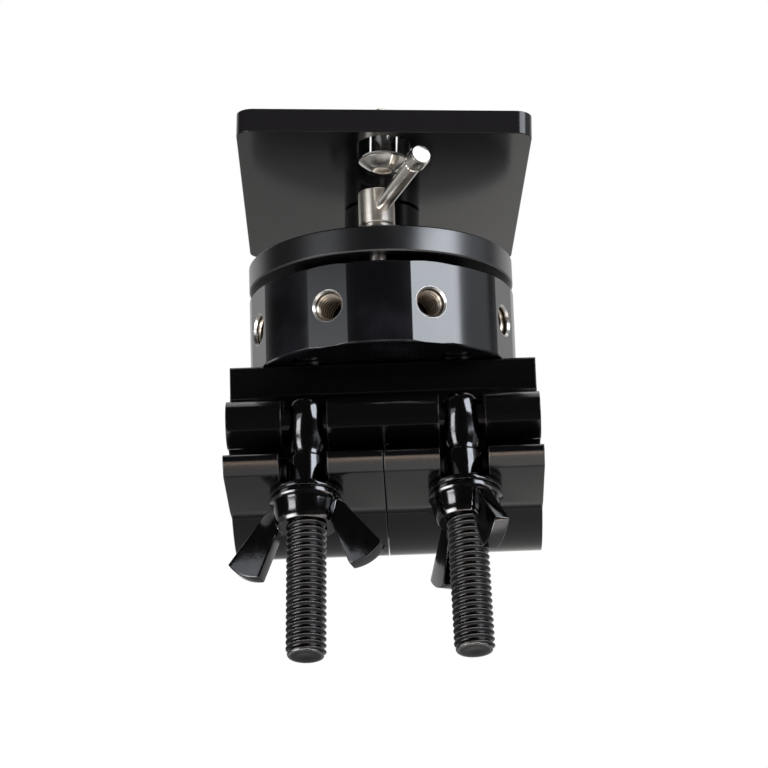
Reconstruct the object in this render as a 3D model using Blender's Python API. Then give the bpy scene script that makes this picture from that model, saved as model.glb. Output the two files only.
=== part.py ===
"""Leveling base for a camera, held on a pipe by a double clamp.

Sizes are in millimetres and turned into metres when a mesh is made. X runs along the pipe,
-Y is the front with the wing nuts, and +Z is up. The origin lies on the pipe's axis, midway
along the clamp. The clamp carries a drum, the drum carries a ball with a column under a
clamp ring, and the column carries the camera plate.
"""

import math

import bmesh
import bpy
from mathutils import Matrix, Vector

MM = 0.001

# Clearances
TOUCH_GAP = 0.2
SCREW_GAP = 0.15
BALL_GAP = 0.25
PIN_GAP = 0.1
EYE_GAP = 0.3
SIDE_GAP = 0.5

# Pipe and clamp
PIPE_DIAMETER = 48.3
BORE_CLEARANCE = 0.25
CLAMP_LENGTH = 100.2
CLAMP_HEIGHT = 59.6
FLANGE_DEPTH = 42.0
FLANGE_THICKNESS = 9.3
JAW_SEAM = 0.4
BARREL_RADIUS = 7.67
BARREL_Y = -36.0
BARREL_Z = 6.0
EYE_PIN_DIAMETER = 8.0
HINGE_Y = 35.0
HINGE_RADIUS = 6.0
HINGE_PIN_DIAMETER = 6.35
HINGE_MIDDLE_WIDTH = 22.0
EYE_SLOT_WIDTH = 14.6
LIP_SLOT_WIDTH = 15.2
LIP_REACH = 57.2
LIP_TOP_Z = -8.5

# Eye bolts, washers and wing nuts
BOLT_DIAMETER = 12.7
THREAD_PITCH = 2.117
THREAD_DEPTH = 1.15
BOLT_REACH = 80.1
BOLT_TILT = math.radians(12.0)
LEFT_BOLT_LEAN = math.radians(0.9)
RIGHT_BOLT_LEAN = math.radians(-0.95)
LEFT_BOLT_SHIFT = 0.7
RIGHT_BOLT_SHIFT = -0.35
EYE_SIDE_PLAY = 0.7
SHANK_DIAMETER = 11.2
SHANK_REACH = 31.0
EYE_RADIUS = 7.25
SEAT_DISTANCE = 24.8
SEAT_FRONT_LENGTH = 13.3
SEAT_BACK_LENGTH = 12.0
WASHER_DIAMETER = 23.3
WASHER_THICKNESS = 2.0
NUT_FLANGE_DIAMETER = 23.3
NUT_TIP_DIAMETER = 18.6
NUT_FLANGE_THICKNESS = 1.6
NUT_HEIGHT = 9.7
WING_TIP_RADIUS = 20.3
WING_TIP_DEPTH = 22.2
WING_TIP_WIDTH = 12.0
WING_TIP_BULGE = 1.5
WING_SHOULDER_RADIUS = 6.5
WING_LEAN = math.radians(29.0)
WING_THICKNESS = 4.8
LEFT_NUT_TURN = math.radians(-18.0)
RIGHT_NUT_TURN = math.radians(-66.0)

# Drum and its tapped accessory holes
DRUM_DIAMETER = 88.9
DRUM_HEIGHT = 27.45
DRUM_CHAMFER = 0.5
FLAT_COUNT = 8
FLAT_HALF_WIDTH = 6.88
TAP_DIAMETER = 8.0
TAP_DEPTH = 15.0
TAP_MOUTH_DIAMETER = 11.3

# Clamp ring, its screws and its lock lever
RING_GAP = 3.1
RING_THICKNESS = 8.7
RING_CHAMFER = 0.45
RING_SCREW_RIM_DISTANCE = 9.65
RING_SCREW_DIAMETER = 6.35
RING_SCREW_HEAD_DIAMETER = 9.5
RING_SCREW_HEAD_HEIGHT = 6.35
RING_SCREW_SOCKET_WIDTH = 4.76
RING_SCREW_THREAD_IN_RING = 6.0
COUNTERBORE_DIAMETER = 10.5
COUNTERBORE_DEPTH = 8.0
LOCK_RIM_DISTANCE = 6.45
LOCK_SCREW_DIAMETER = 5.0
LOCK_SCREW_IN_DRUM = 14.0
COLLAR_DIAMETER = 11.0
COLLAR_THICKNESS = 1.2
HUB_DIAMETER = 11.85
HUB_HEIGHT = 11.6
ARM_DIAMETER = 4.9
ARM_TIP_DIAMETER = 6.9
ARM_LENGTH = 39.0
ARM_RISE = math.radians(10.0)
ARM_BEARING = math.radians(-66.5)

# Ball, liner and column
BALL_DIAMETER = 41.0
BALL_BOLT_SEAT_DEPTH = 10.0
LINER_THICKNESS = 1.5
DRUM_FLOOR = 3.0
LINER_RIM_DROP = math.radians(16.0)
LINER_FLOOR_RADIUS = 5.0
COLUMN_DIAMETER = 25.4
COLUMN_BOLT_DIAMETER = 7.94
COLUMN_BOLT_HEAD_DIAMETER = 12.7
COLUMN_BOLT_HEAD_HEIGHT = 7.9
COLUMN_BOLT_SOCKET_WIDTH = 6.35
COLUMN_BOLT_IN_COLUMN = 7.0
LEVEL_TILT = math.radians(2.0)
PAN_TURN = math.radians(2.0)

# Camera plate and camera screw
PLATE_WIDTH = 93.4
PLATE_LENGTH = 127.0
PLATE_THICKNESS = 7.62
PLATE_FRONT = 76.2
PLATE_UNDERSIDE_HEIGHT = 33.5
PLATE_CORNER_RADIUS = 5.5
PLATE_CHAMFER = 0.4
SLOT_FRONT_WALL = 3.2
SLOT_LENGTH = 47.5
SLOT_WIDTH = 16.3
SLOT_DEPTH = 4.3
PLATE_SCREW_COUNT = 4
PLATE_SCREW_CIRCLE_RADIUS = 8.0
PLATE_SCREW_DIAMETER = 4.83
PLATE_SCREW_HEAD_DIAMETER = 9.4
PLATE_SCREW_SOCKET_WIDTH = 3.18
PLATE_SCREW_SOCKET_DEPTH = 1.8
PLATE_SCREW_RECESS = 0.2
PLATE_SCREW_IN_COLUMN = 7.0
CAMERA_SCREW_Y = -55.3
CAMERA_THREAD_DIAMETER = 9.525
CAMERA_THREAD_LENGTH = 7.2
CAMERA_SHANK_DIAMETER = 7.9
CAMERA_HEAD_DIAMETER = 15.86
CAMERA_HEAD_DROP = 1.9
CAMERA_HEAD_RIM = 0.5
CAMERA_HEAD_DOME = 2.9
CAMERA_HEAD_FLAT_RADIUS = 3.0
CAMERA_SOCKET_WIDTH = 4.0
CAMERA_SOCKET_DEPTH = 2.5
CAMERA_WASHER_DIAMETER = 14.0
CAMERA_WASHER_THICKNESS = 0.8

# Clamp bolts into the drum
CLAMP_BOLT_DIAMETER = 7.94
CLAMP_BOLT_HEAD_DIAMETER = 15.0
CLAMP_BOLT_RECESS = 0.8
CLAMP_BOLT_SOCKET_WIDTH = 4.76
CLAMP_BOLT_SOCKET_DEPTH = 2.4
CLAMP_BOLT_IN_DRUM = 10.0

# Sizes that follow from the ones above
BORE_RADIUS = PIPE_DIAMETER / 2 + BORE_CLEARANCE
CLAMP_TOP = CLAMP_HEIGHT / 2
OUTER_RADIUS = CLAMP_HEIGHT / 2
JAW_WIDTH = (CLAMP_LENGTH - JAW_SEAM) / 2
BOLT_X = (JAW_WIDTH + JAW_SEAM) / 2
DRUM_BOTTOM = CLAMP_TOP + TOUCH_GAP
DRUM_TOP = DRUM_BOTTOM + DRUM_HEIGHT
DRUM_RADIUS = DRUM_DIAMETER / 2
RING_SCREW_CIRCLE_RADIUS = DRUM_RADIUS - RING_SCREW_RIM_DISTANCE
LOCK_RADIUS = DRUM_RADIUS - LOCK_RIM_DISTANCE
RING_BOTTOM = DRUM_TOP + RING_GAP
RING_TOP = RING_BOTTOM + RING_THICKNESS
BALL_RADIUS = BALL_DIAMETER / 2
LINER_INNER_RADIUS = BALL_RADIUS + BALL_GAP
LINER_OUTER_RADIUS = LINER_INNER_RADIUS + LINER_THICKNESS
CUP_RADIUS = LINER_OUTER_RADIUS + BALL_GAP
BALL_Z = DRUM_BOTTOM + DRUM_FLOOR + CUP_RADIUS
COLUMN_RADIUS = COLUMN_DIAMETER / 2
BALL_FLAT = math.sqrt(BALL_RADIUS ** 2 - COLUMN_RADIUS ** 2)
COLUMN_BOTTOM = BALL_FLAT + TOUCH_GAP
COLUMN_TOP = PLATE_UNDERSIDE_HEIGHT - TOUCH_GAP
PLATE_TOP = PLATE_UNDERSIDE_HEIGHT + PLATE_THICKNESS
WASHER_START = SEAT_DISTANCE + TOUCH_GAP
NUT_START = WASHER_START + WASHER_THICKNESS + TOUCH_GAP / 2
THROUGH_SLOT_WIDTH = CAMERA_SHANK_DIAMETER + 2 * SIDE_GAP

# How finely round pieces are divided
FINE = 56
MIDDLE = 32
COARSE = 16


def clear_scene():
    """Remove what the program starts with."""
    for item in list(bpy.data.objects):
        bpy.data.objects.remove(item, do_unlink=True)


def make_material(name, colour, metallic, roughness):
    """One Principled material."""
    material = bpy.data.materials.new(name)
    material.use_nodes = True
    shader = material.node_tree.nodes["Principled BSDF"]
    shader.inputs["Base Color"].default_value = (*colour, 1.0)
    shader.inputs["Metallic"].default_value = metallic
    shader.inputs["Roughness"].default_value = roughness
    material.diffuse_color = (*colour, 1.0)
    return material


def new_object(name, mesh_data, material=None, parent=None, smooth=True):
    """Turn a bmesh in millimetres into an object in metres."""
    bmesh.ops.remove_doubles(mesh_data, verts=mesh_data.verts, dist=1e-5)
    bmesh.ops.recalc_face_normals(mesh_data, faces=mesh_data.faces)
    bmesh.ops.scale(mesh_data, vec=(MM, MM, MM), verts=mesh_data.verts)
    mesh = bpy.data.meshes.new(name)
    mesh_data.to_mesh(mesh)
    mesh_data.free()
    item = bpy.data.objects.new(name, mesh)
    bpy.context.scene.collection.objects.link(item)
    if material is not None:
        mesh.materials.append(material)
    if smooth:
        mesh.shade_smooth()
        mesh.set_sharp_from_angle(angle=math.radians(30))
    if parent is not None:
        item.parent = parent
    return item


def new_frame(name, place, turn=None):
    """An empty that carries the pieces which move about one point."""
    frame = bpy.data.objects.new(name, None)
    frame.empty_display_size = 0.01
    bpy.context.scene.collection.objects.link(frame)
    matrix = Matrix.Translation(Vector(place) * MM)
    if turn is not None:
        matrix = matrix @ turn.to_4x4()
    frame.matrix_world = matrix
    return frame


def lathe(profile, segments, axis="Z"):
    """Turn a closed outline of (radius, height) points about an axis."""
    shape = bmesh.new()
    columns = []
    for radius, height in profile:
        if radius < 1e-6:
            columns.append([shape.verts.new((0, 0, height))])
            continue
        ring = []
        for index in range(segments):
            angle = 2 * math.pi * index / segments
            ring.append(shape.verts.new((radius * math.cos(angle), radius * math.sin(angle), height)))
        columns.append(ring)
    for first, second in zip(columns, columns[1:] + columns[:1]):
        if len(first) == 1 and len(second) == 1:
            continue
        for index in range(segments):
            after = (index + 1) % segments
            if len(first) == 1:
                shape.faces.new((first[0], second[after], second[index]))
            elif len(second) == 1:
                shape.faces.new((first[index], first[after], second[0]))
            else:
                shape.faces.new((first[index], first[after], second[after], second[index]))
    if axis == "X":
        bmesh.ops.rotate(shape, verts=shape.verts, matrix=Matrix.Rotation(math.pi / 2, 3, "Y"))
    return shape


def prism(outline, low, high, axis="X"):
    """Push a closed outline out from low to high along an axis.

    The outline's two numbers are (Y, Z) along X, (X, Z) along Y and (X, Y) along Z.
    """
    def place(point, height):
        if axis == "X":
            return (height, point[0], point[1])
        if axis == "Y":
            return (point[0], height, point[1])
        return (point[0], point[1], height)

    shape = bmesh.new()
    near = [shape.verts.new(place(point, low)) for point in outline]
    far = [shape.verts.new(place(point, high)) for point in outline]
    shape.faces.new(near)
    shape.faces.new(far)
    for index in range(len(outline)):
        after = (index + 1) % len(outline)
        shape.faces.new((near[index], near[after], far[after], far[index]))
    return shape


def arc(centre, radius, start, end, steps):
    """Points on an arc, both ends included, angles in degrees."""
    points = []
    for index in range(steps + 1):
        angle = math.radians(start + (end - start) * index / steps)
        points.append((centre[0] + radius * math.cos(angle), centre[1] + radius * math.sin(angle)))
    return points


def stadium(half_width, start, end, steps=12):
    """A slot's outline along Y, with round ends centred at start and end."""
    return arc((0, end), half_width, 0, 180, steps) + arc((0, start), half_width, 180, 360, steps)


def moved(shape, offset):
    """The same shape at another place."""
    bmesh.ops.translate(shape, vec=offset, verts=shape.verts)
    return shape


def turned(shape, angle, axis):
    """The same shape turned about an axis through the origin."""
    bmesh.ops.rotate(shape, verts=shape.verts, matrix=Matrix.Rotation(angle, 3, axis))
    return shape


def combine(target, shape, operation, name):
    """Cut a shape from an object, or join it on, with a live exact Boolean."""
    cutter = new_object(name, shape, parent=target.parent, smooth=False)
    cutter.display_type = "WIRE"
    cutter.hide_render = True
    modifier = target.modifiers.new(name, "BOOLEAN")
    modifier.operation = operation
    modifier.solver = "EXACT"
    modifier.object = cutter
    return cutter


def cut(target, shape, name):
    """Cut a shape from an object."""
    combine(target, shape, "DIFFERENCE", name)


def join(target, shape, name):
    """Join a shape to an object."""
    combine(target, shape, "UNION", name)


def hole(radius, low, high, segments=COARSE):
    """An upright cylinder that serves as a drilled hole."""
    return lathe([(0, low), (radius, low), (radius, high), (0, high)], segments)


def cap_screw(diameter, length, head_diameter, head_height):
    """A cap screw: the head sits above height 0 and the shank below it."""
    return lathe([
        (0, -length), (diameter / 2 - 0.6, -length), (diameter / 2, -length + 0.6), (diameter / 2, 0),
        (head_diameter / 2, 0), (head_diameter / 2, head_height - 0.5), (head_diameter / 2 - 0.5, head_height),
        (0, head_height)], COARSE)


def flat_screw(diameter, length, head_diameter):
    """A countersunk screw: its flat top is at height 0 and the rest lies below it."""
    cone = (head_diameter - diameter) / 2
    return lathe([
        (0, -length), (diameter / 2 - 0.5, -length), (diameter / 2, -length + 0.5), (diameter / 2, -cone - 0.4),
        (head_diameter / 2, -0.4), (head_diameter / 2, 0), (0, 0)], COARSE)


def hex_socket(width, depth, rise=1.0):
    """A cutter for a hexagon socket, from just above height 0 down to -depth."""
    radius = width / 2 / math.cos(math.pi / 6)
    return lathe([(0, -depth - width / 6), (radius * 0.9, -depth), (radius, -depth), (radius, rise), (0, rise)], 6)


def flat_screw_hole(diameter, depth, head_diameter):
    """The countersunk hole for a flat screw, from well above height 0 down to -depth."""
    radius = diameter / 2 + SCREW_GAP
    head = head_diameter / 2 + SCREW_GAP
    cone = head - radius
    return lathe([(0, -depth), (radius, -depth), (radius, -cone - 0.4), (head, -0.4), (head, 3.0), (0, 3.0)], COARSE)


def seat_point(forward):
    """A point of the jaw's washer seat, some way forward of the bolt."""
    down = SEAT_DISTANCE
    y = BARREL_Y - down * math.sin(BOLT_TILT) - forward * math.cos(BOLT_TILT)
    z = BARREL_Z - down * math.cos(BOLT_TILT) + forward * math.sin(BOLT_TILT)
    return (y, z)


def hinge_notch(low, high):
    """A cutter that clears one knuckle of the jaw hinge along X."""
    reach = HINGE_RADIUS + SIDE_GAP
    outline = arc((HINGE_Y, 0), reach, 90, 270, 16) + [(HINGE_Y + 3 * reach, -reach), (HINGE_Y + 3 * reach, reach)]
    return prism(outline, low, high)


def make_clamp_body(material):
    """The upper half of the clamp: one wide extrusion that both jaws close against."""
    half = FLANGE_DEPTH / 2
    under = CLAMP_TOP - FLANGE_THICKNESS
    wall_foot = -2.0
    outline = [(-half + 0.6, CLAMP_TOP), (-half, CLAMP_TOP - 0.6), (-half, under)]
    outline += arc((-half - 3.0, under), 3.0, 0, -60, 5)[1:]
    outline += arc((BARREL_Y, BARREL_Z), BARREL_RADIUS, 60, 300, 22)
    outline += [(-BORE_RADIUS - 3.6, wall_foot), (-BORE_RADIUS, wall_foot)]
    outline += arc((0, 0), BORE_RADIUS, 180, 0, 36)
    outline += [(BORE_RADIUS, wall_foot), (HINGE_Y - HINGE_RADIUS, wall_foot)]
    outline += arc((HINGE_Y, 0), HINGE_RADIUS, 200, 450, 14)
    outline += [(HINGE_Y - 6.0, 9.0), (half + 3.0, under - 4.0), (half, under), (half, CLAMP_TOP - 0.6),
                (half - 0.6, CLAMP_TOP)]
    body = new_object("pipe_clamp_body", prism(outline, -CLAMP_LENGTH / 2, CLAMP_LENGTH / 2), material)
    slot = [(-half - 26.0, -8.0), (-BORE_RADIUS - 3.9, -8.0), (-BORE_RADIUS - 3.9, BARREL_Z + 4.0),
            (-half - 2.2, under - 4.0), (-half - 0.6, under - 0.8), (-half - 26.0, under - 0.8)]
    pin_hole = lathe([(0, -CLAMP_LENGTH), (EYE_PIN_DIAMETER / 2 + PIN_GAP, -CLAMP_LENGTH),
                      (EYE_PIN_DIAMETER / 2 + PIN_GAP, CLAMP_LENGTH), (0, CLAMP_LENGTH)], COARSE, "X")
    cut(body, moved(pin_hole, (0, BARREL_Y, BARREL_Z)), "eye_pin_hole")
    for side, sign in (("left", -1), ("right", 1)):
        middle = sign * BOLT_X
        cut(body, prism(slot, middle - EYE_SLOT_WIDTH / 2, middle + EYE_SLOT_WIDTH / 2), "eye_slot_" + side)
        reach = HINGE_MIDDLE_WIDTH / 2 + SIDE_GAP
        cut(body, hinge_notch(middle - reach, middle + reach), "hinge_notch_" + side)
        head = flat_screw_hole(CLAMP_BOLT_DIAMETER, 30.0, CLAMP_BOLT_HEAD_DIAMETER)
        head = turned(head, math.pi, "X")
        cut(body, moved(head, (middle, 0, BORE_RADIUS + CLAMP_BOLT_RECESS)), "clamp_bolt_hole_" + side)
    pin = lathe([(0, -CLAMP_LENGTH), (HINGE_PIN_DIAMETER / 2 + PIN_GAP, -CLAMP_LENGTH),
                 (HINGE_PIN_DIAMETER / 2 + PIN_GAP, CLAMP_LENGTH), (0, CLAMP_LENGTH)], COARSE, "X")
    cut(body, moved(pin, (0, HINGE_Y, 0)), "hinge_pin_hole")
    return body


def make_jaw(side, sign, material):
    """One lower jaw: hinge knuckle at the back, washer seat and slotted lip at the front."""
    frame = new_frame("jaw_" + side + "_frame", (0, HINGE_Y, 0))
    middle = sign * BOLT_X
    top = -3.6
    seat_front = seat_point(SEAT_FRONT_LENGTH)
    seat_back = seat_point(-SEAT_BACK_LENGTH)
    start = math.degrees(math.atan2(-math.sqrt(OUTER_RADIUS ** 2 - 21.0 ** 2), -21.0)) + 360
    outline = [(-BORE_RADIUS, top), (-BORE_RADIUS - 4.8, top), (-BORE_RADIUS - 8.0, top - 2.6)]
    outline += [(-LIP_REACH + 4.6, LIP_TOP_Z)]
    outline += arc((-LIP_REACH + 2.2, LIP_TOP_Z - 2.2), 2.2, 90, 190, 6)
    outline += [(seat_front[0] - 0.6, seat_front[1] + 0.5), seat_front, seat_back]
    outline += arc((0, 0), OUTER_RADIUS, start, 318, 20)
    outline += arc((HINGE_Y, 0), HINGE_RADIUS, -45, 150, 12)
    outline += [(BORE_RADIUS + 4.2, top), (BORE_RADIUS, top)]
    outline += arc((0, 0), BORE_RADIUS, -8.5, -171.5, 32)
    outline = [(y - HINGE_Y, z) for y, z in outline]
    jaw = new_object("clamp_jaw_" + side, prism(outline, middle - JAW_WIDTH / 2, middle + JAW_WIDTH / 2),
                     material, frame)
    slot = stadium(LIP_SLOT_WIDTH / 2, -LIP_REACH - 20.0, -BORE_RADIUS - 4.6 - LIP_SLOT_WIDTH / 2)
    slot = prism(slot, -CLAMP_HEIGHT, CLAMP_HEIGHT, "Z")
    cut(jaw, moved(slot, (middle, -HINGE_Y, 0)), "lip_slot_" + side)
    for number, edge in enumerate((-1, 1)):
        inner = middle + edge * (HINGE_MIDDLE_WIDTH / 2)
        outer = middle + edge * JAW_WIDTH
        notch = hinge_notch(min(inner, outer), max(inner, outer))
        cut(jaw, moved(notch, (0, -HINGE_Y, 0)), "jaw_notch_%s_%d" % (side, number))
    reach = HINGE_PIN_DIAMETER / 2 + PIN_GAP
    pin = lathe([(0, -CLAMP_LENGTH), (reach, -CLAMP_LENGTH), (reach, CLAMP_LENGTH), (0, CLAMP_LENGTH)], COARSE, "X")
    cut(jaw, pin, "jaw_pin_hole_" + side)
    return jaw


def make_pin(name, diameter, y, z, material):
    """A plain round pin along the whole clamp."""
    half = CLAMP_LENGTH / 2 - 1.0
    radius = diameter / 2
    shape = lathe([(0, -half), (radius - 0.5, -half), (radius, -half + 0.5), (radius, half - 0.5),
                   (radius - 0.5, half), (0, half)], COARSE, "X")
    pin = new_object(name, shape, material)
    pin.location = (0, y * MM, z * MM)
    return pin


def make_eye_bolt(side, frame, material):
    """A swing bolt: rounded eye on the pin, plain shank, then thread to the end."""
    inner = EYE_PIN_DIAMETER / 2 + EYE_GAP
    half = EYE_SLOT_WIDTH / 2 - EYE_SIDE_PLAY - SIDE_GAP
    end = math.acos(inner / EYE_RADIUS)
    angles = [-end + 2 * end * index / 10 for index in range(11)]
    profile = [(EYE_RADIUS * math.cos(angle), half * math.sin(angle)) for angle in angles]
    bolt = new_object("eye_bolt_" + side, lathe(profile, COARSE, "X"), material, frame)
    crest = BOLT_DIAMETER / 2
    root = crest - THREAD_DEPTH
    start = EYE_RADIUS - 1.2
    shank = [(0, -start), (SHANK_DIAMETER / 2, -start), (SHANK_DIAMETER / 2, -SHANK_REACH)]
    turns = int((BOLT_REACH - 1.6 - SHANK_REACH) / THREAD_PITCH)
    for turn in range(turns):
        low = SHANK_REACH + turn * THREAD_PITCH
        shank += [(crest, -low - THREAD_PITCH / 2), (root, -low - THREAD_PITCH)]
    shank += [(crest - 0.9, -BOLT_REACH + 0.7), (crest - 1.6, -BOLT_REACH), (0, -BOLT_REACH)]
    join(bolt, lathe(shank, COARSE), "shank_" + side)
    return bolt


def make_washer(side, frame, material):
    """The flat washer between the jaw's seat and the wing nut."""
    inner = BOLT_DIAMETER / 2 + SCREW_GAP
    outer = WASHER_DIAMETER / 2
    low = -WASHER_START - WASHER_THICKNESS
    shape = lathe([(inner, low), (outer, low), (outer, -WASHER_START), (inner, -WASHER_START)], MIDDLE)
    return new_object("nut_washer_" + side, shape, material, frame)


def make_wing_nut(side, frame, turn, material):
    """A wing nut: flanged conical hub with two thick wings that sweep down and out."""
    inner = BOLT_DIAMETER / 2 + SCREW_GAP
    flange = NUT_FLANGE_DIAMETER / 2
    tip = NUT_TIP_DIAMETER / 2
    low = -NUT_START - NUT_HEIGHT
    step = -NUT_START - NUT_FLANGE_THICKNESS
    shape = lathe([(inner, -NUT_START), (flange - 0.4, -NUT_START), (flange, -NUT_START - 0.4),
                   (flange, step), (flange - 0.7, step - 0.9), ((flange + tip) / 2, (step + low) / 2),
                   (tip, low + 0.8), (tip - 0.8, low), (inner, low)], MIDDLE)
    nut = new_object("wing_nut_" + side, turned(shape, turn, "Z"), material, frame)
    out = Vector((math.cos(WING_LEAN), math.sin(WING_LEAN)))
    along = Vector((math.sin(WING_LEAN), -math.cos(WING_LEAN)))
    tip_middle = Vector((WING_TIP_RADIUS, -WING_TIP_DEPTH))
    half = WING_TIP_WIDTH / 2
    shoulder = (tip - 0.3, -NUT_FLANGE_THICKNESS - 0.7 - WING_SHOULDER_RADIUS)
    shape_points = [Vector((shoulder[0], shoulder[1] + WING_SHOULDER_RADIUS))]
    shape_points += [Vector(point) for point in arc(shoulder, WING_SHOULDER_RADIUS, 80, 25, 5)]
    for index in range(7):
        part = index / 6
        bulge = 4 * WING_TIP_BULGE * part * (1 - part)
        shape_points.append(tip_middle + out * half * (1 - 2 * part) + along * bulge)
    shape_points.append(Vector((tip - 0.9, -NUT_HEIGHT + 0.8)))
    outline = [(point.x, point.y - NUT_START) for point in shape_points]
    for number, sign in enumerate((1, -1)):
        points = [(sign * x, z) for x, z in outline]
        wing = prism(points, -WING_THICKNESS / 2, WING_THICKNESS / 2, "Y")
        join(nut, turned(wing, turn, "Z"), "wing_%s_%d" % (side, number))
    return nut


def make_clamp_bolt(side, sign, material):
    """A countersunk bolt from the roof of the pipe bore up into the drum."""
    head_face = BORE_RADIUS + CLAMP_BOLT_RECESS
    length = DRUM_BOTTOM + CLAMP_BOLT_IN_DRUM - head_face
    shape = turned(flat_screw(CLAMP_BOLT_DIAMETER, length, CLAMP_BOLT_HEAD_DIAMETER), math.pi, "X")
    bolt = new_object("clamp_bolt_" + side, moved(shape, (sign * BOLT_X, 0, head_face)), material)
    socket = turned(hex_socket(CLAMP_BOLT_SOCKET_WIDTH, CLAMP_BOLT_SOCKET_DEPTH), math.pi, "X")
    cut(bolt, moved(socket, (sign * BOLT_X, 0, head_face)), "clamp_bolt_socket_" + side)
    return bolt


def ring_screw_places():
    """Where the four ring screws stand, on the diagonals."""
    places = []
    for index in range(4):
        angle = math.radians(45 + 90 * index)
        places.append((RING_SCREW_CIRCLE_RADIUS * math.cos(angle), RING_SCREW_CIRCLE_RADIUS * math.sin(angle)))
    return places


def make_drum(material):
    """The drum: eight flats with tapped holes around a round cup for the ball."""
    rim = DRUM_RADIUS
    edge = DRUM_CHAMFER
    profile = [(0, DRUM_BOTTOM), (rim - edge, DRUM_BOTTOM), (rim, DRUM_BOTTOM + edge), (rim, DRUM_TOP - edge),
               (rim - edge, DRUM_TOP), (CUP_RADIUS + 0.6, DRUM_TOP), (CUP_RADIUS, DRUM_TOP - 0.6)]
    profile += [(CUP_RADIUS * math.cos(math.radians(a)), BALL_Z - CUP_RADIUS * math.sin(math.radians(a)))
                for a in range(0, 91, 15)]
    drum = new_object("drum", lathe(profile, FINE), material)
    flat_depth = rim - math.sqrt(rim ** 2 - FLAT_HALF_WIDTH ** 2)
    face = rim - flat_depth
    middle = (DRUM_BOTTOM + DRUM_TOP) / 2
    radius = TAP_DIAMETER / 2
    mouth = TAP_MOUTH_DIAMETER / 2
    for index in range(FLAT_COUNT):
        angle = math.radians(22.5 + 360 / FLAT_COUNT * index)
        box = prism([(-20, DRUM_BOTTOM - 5), (20, DRUM_BOTTOM - 5), (20, DRUM_TOP + 5), (-20, DRUM_TOP + 5)],
                    face, face + 10.0)
        cut(drum, turned(box, angle, "Z"), "flat_%d" % index)
    for index in range(FLAT_COUNT):
        angle = math.radians(22.5 + 360 / FLAT_COUNT * index)
        tap = lathe([(0, face - TAP_DEPTH), (radius, face - TAP_DEPTH), (radius, face - (mouth - radius)),
                     (mouth, face), (mouth, face + 2.0), (0, face + 2.0)], COARSE)
        tap = moved(turned(tap, math.pi / 2, "Y"), (0, 0, middle))
        cut(drum, turned(tap, angle, "Z"), "tapped_hole_%d" % index)
    for index, (x, y) in enumerate(ring_screw_places()):
        radius = RING_SCREW_DIAMETER / 2 + SCREW_GAP
        wide = COUNTERBORE_DIAMETER / 2
        step = DRUM_BOTTOM + COUNTERBORE_DEPTH
        shape = lathe([(0, DRUM_BOTTOM - 2), (wide, DRUM_BOTTOM - 2), (wide, step), (radius, step),
                       (radius, DRUM_TOP + 2), (0, DRUM_TOP + 2)], COARSE)
        cut(drum, moved(shape, (x, y, 0)), "ring_screw_hole_%d" % index)
    for side, sign in (("left", -1), ("right", 1)):
        shape = hole(CLAMP_BOLT_DIAMETER / 2 + SCREW_GAP, DRUM_BOTTOM - 2, DRUM_BOTTOM + CLAMP_BOLT_IN_DRUM + 1)
        cut(drum, moved(shape, (sign * BOLT_X, 0, 0)), "clamp_bolt_tap_" + side)
    shape = hole(LOCK_SCREW_DIAMETER / 2 + SCREW_GAP, DRUM_TOP - LOCK_SCREW_IN_DRUM - 1, DRUM_TOP + 2)
    cut(drum, moved(shape, (0, -LOCK_RADIUS, 0)), "lock_screw_tap")
    return drum


def make_liner(material):
    """The thin cup that the ball rests in."""
    def bowl(radius):
        end = math.acos(LINER_FLOOR_RADIUS / radius)
        angles = [LINER_RIM_DROP + (end - LINER_RIM_DROP) * index / 7 for index in range(8)]
        return [(radius * math.cos(angle), -radius * math.sin(angle)) for angle in angles]

    outline = bowl(LINER_OUTER_RADIUS) + bowl(LINER_INNER_RADIUS)[::-1]
    liner = new_object("ball_cup_liner", lathe(outline, FINE), material)
    liner.location = (0, 0, BALL_Z * MM)
    return liner


def make_ring(material):
    """The clamp ring over the ball, with a round seat and an open top for the column."""
    seat = BALL_RADIUS + BALL_GAP
    low = RING_BOTTOM - BALL_Z
    high = RING_TOP - BALL_Z
    seat_end = low + 0.68 * RING_THICKNESS
    rim = DRUM_RADIUS
    edge = RING_CHAMFER
    steps = 4
    profile = [(rim - edge, low), (rim, low + edge), (rim, high - edge), (rim - edge, high)]
    neck = math.sqrt(seat ** 2 - seat_end ** 2)
    profile += [(neck + 1.0, high), (neck, high - 1.0)]
    for index in range(steps + 1):
        height = seat_end + (low - seat_end) * index / steps
        profile.append((math.sqrt(seat ** 2 - height ** 2), height))
    ring = new_object("clamp_ring", moved(lathe(profile, FINE), (0, 0, BALL_Z)), material)
    for index, (x, y) in enumerate(ring_screw_places()):
        shape = hole(RING_SCREW_DIAMETER / 2 + SCREW_GAP, RING_BOTTOM - 2,
                     RING_BOTTOM + RING_SCREW_THREAD_IN_RING + 0.8)
        cut(ring, moved(shape, (x, y, 0)), "ring_tap_%d" % index)
    shape = hole(LOCK_SCREW_DIAMETER / 2 + SCREW_GAP, RING_BOTTOM - 2, RING_TOP + 2)
    cut(ring, moved(shape, (0, -LOCK_RADIUS, 0)), "lock_screw_hole")
    return ring


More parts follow.
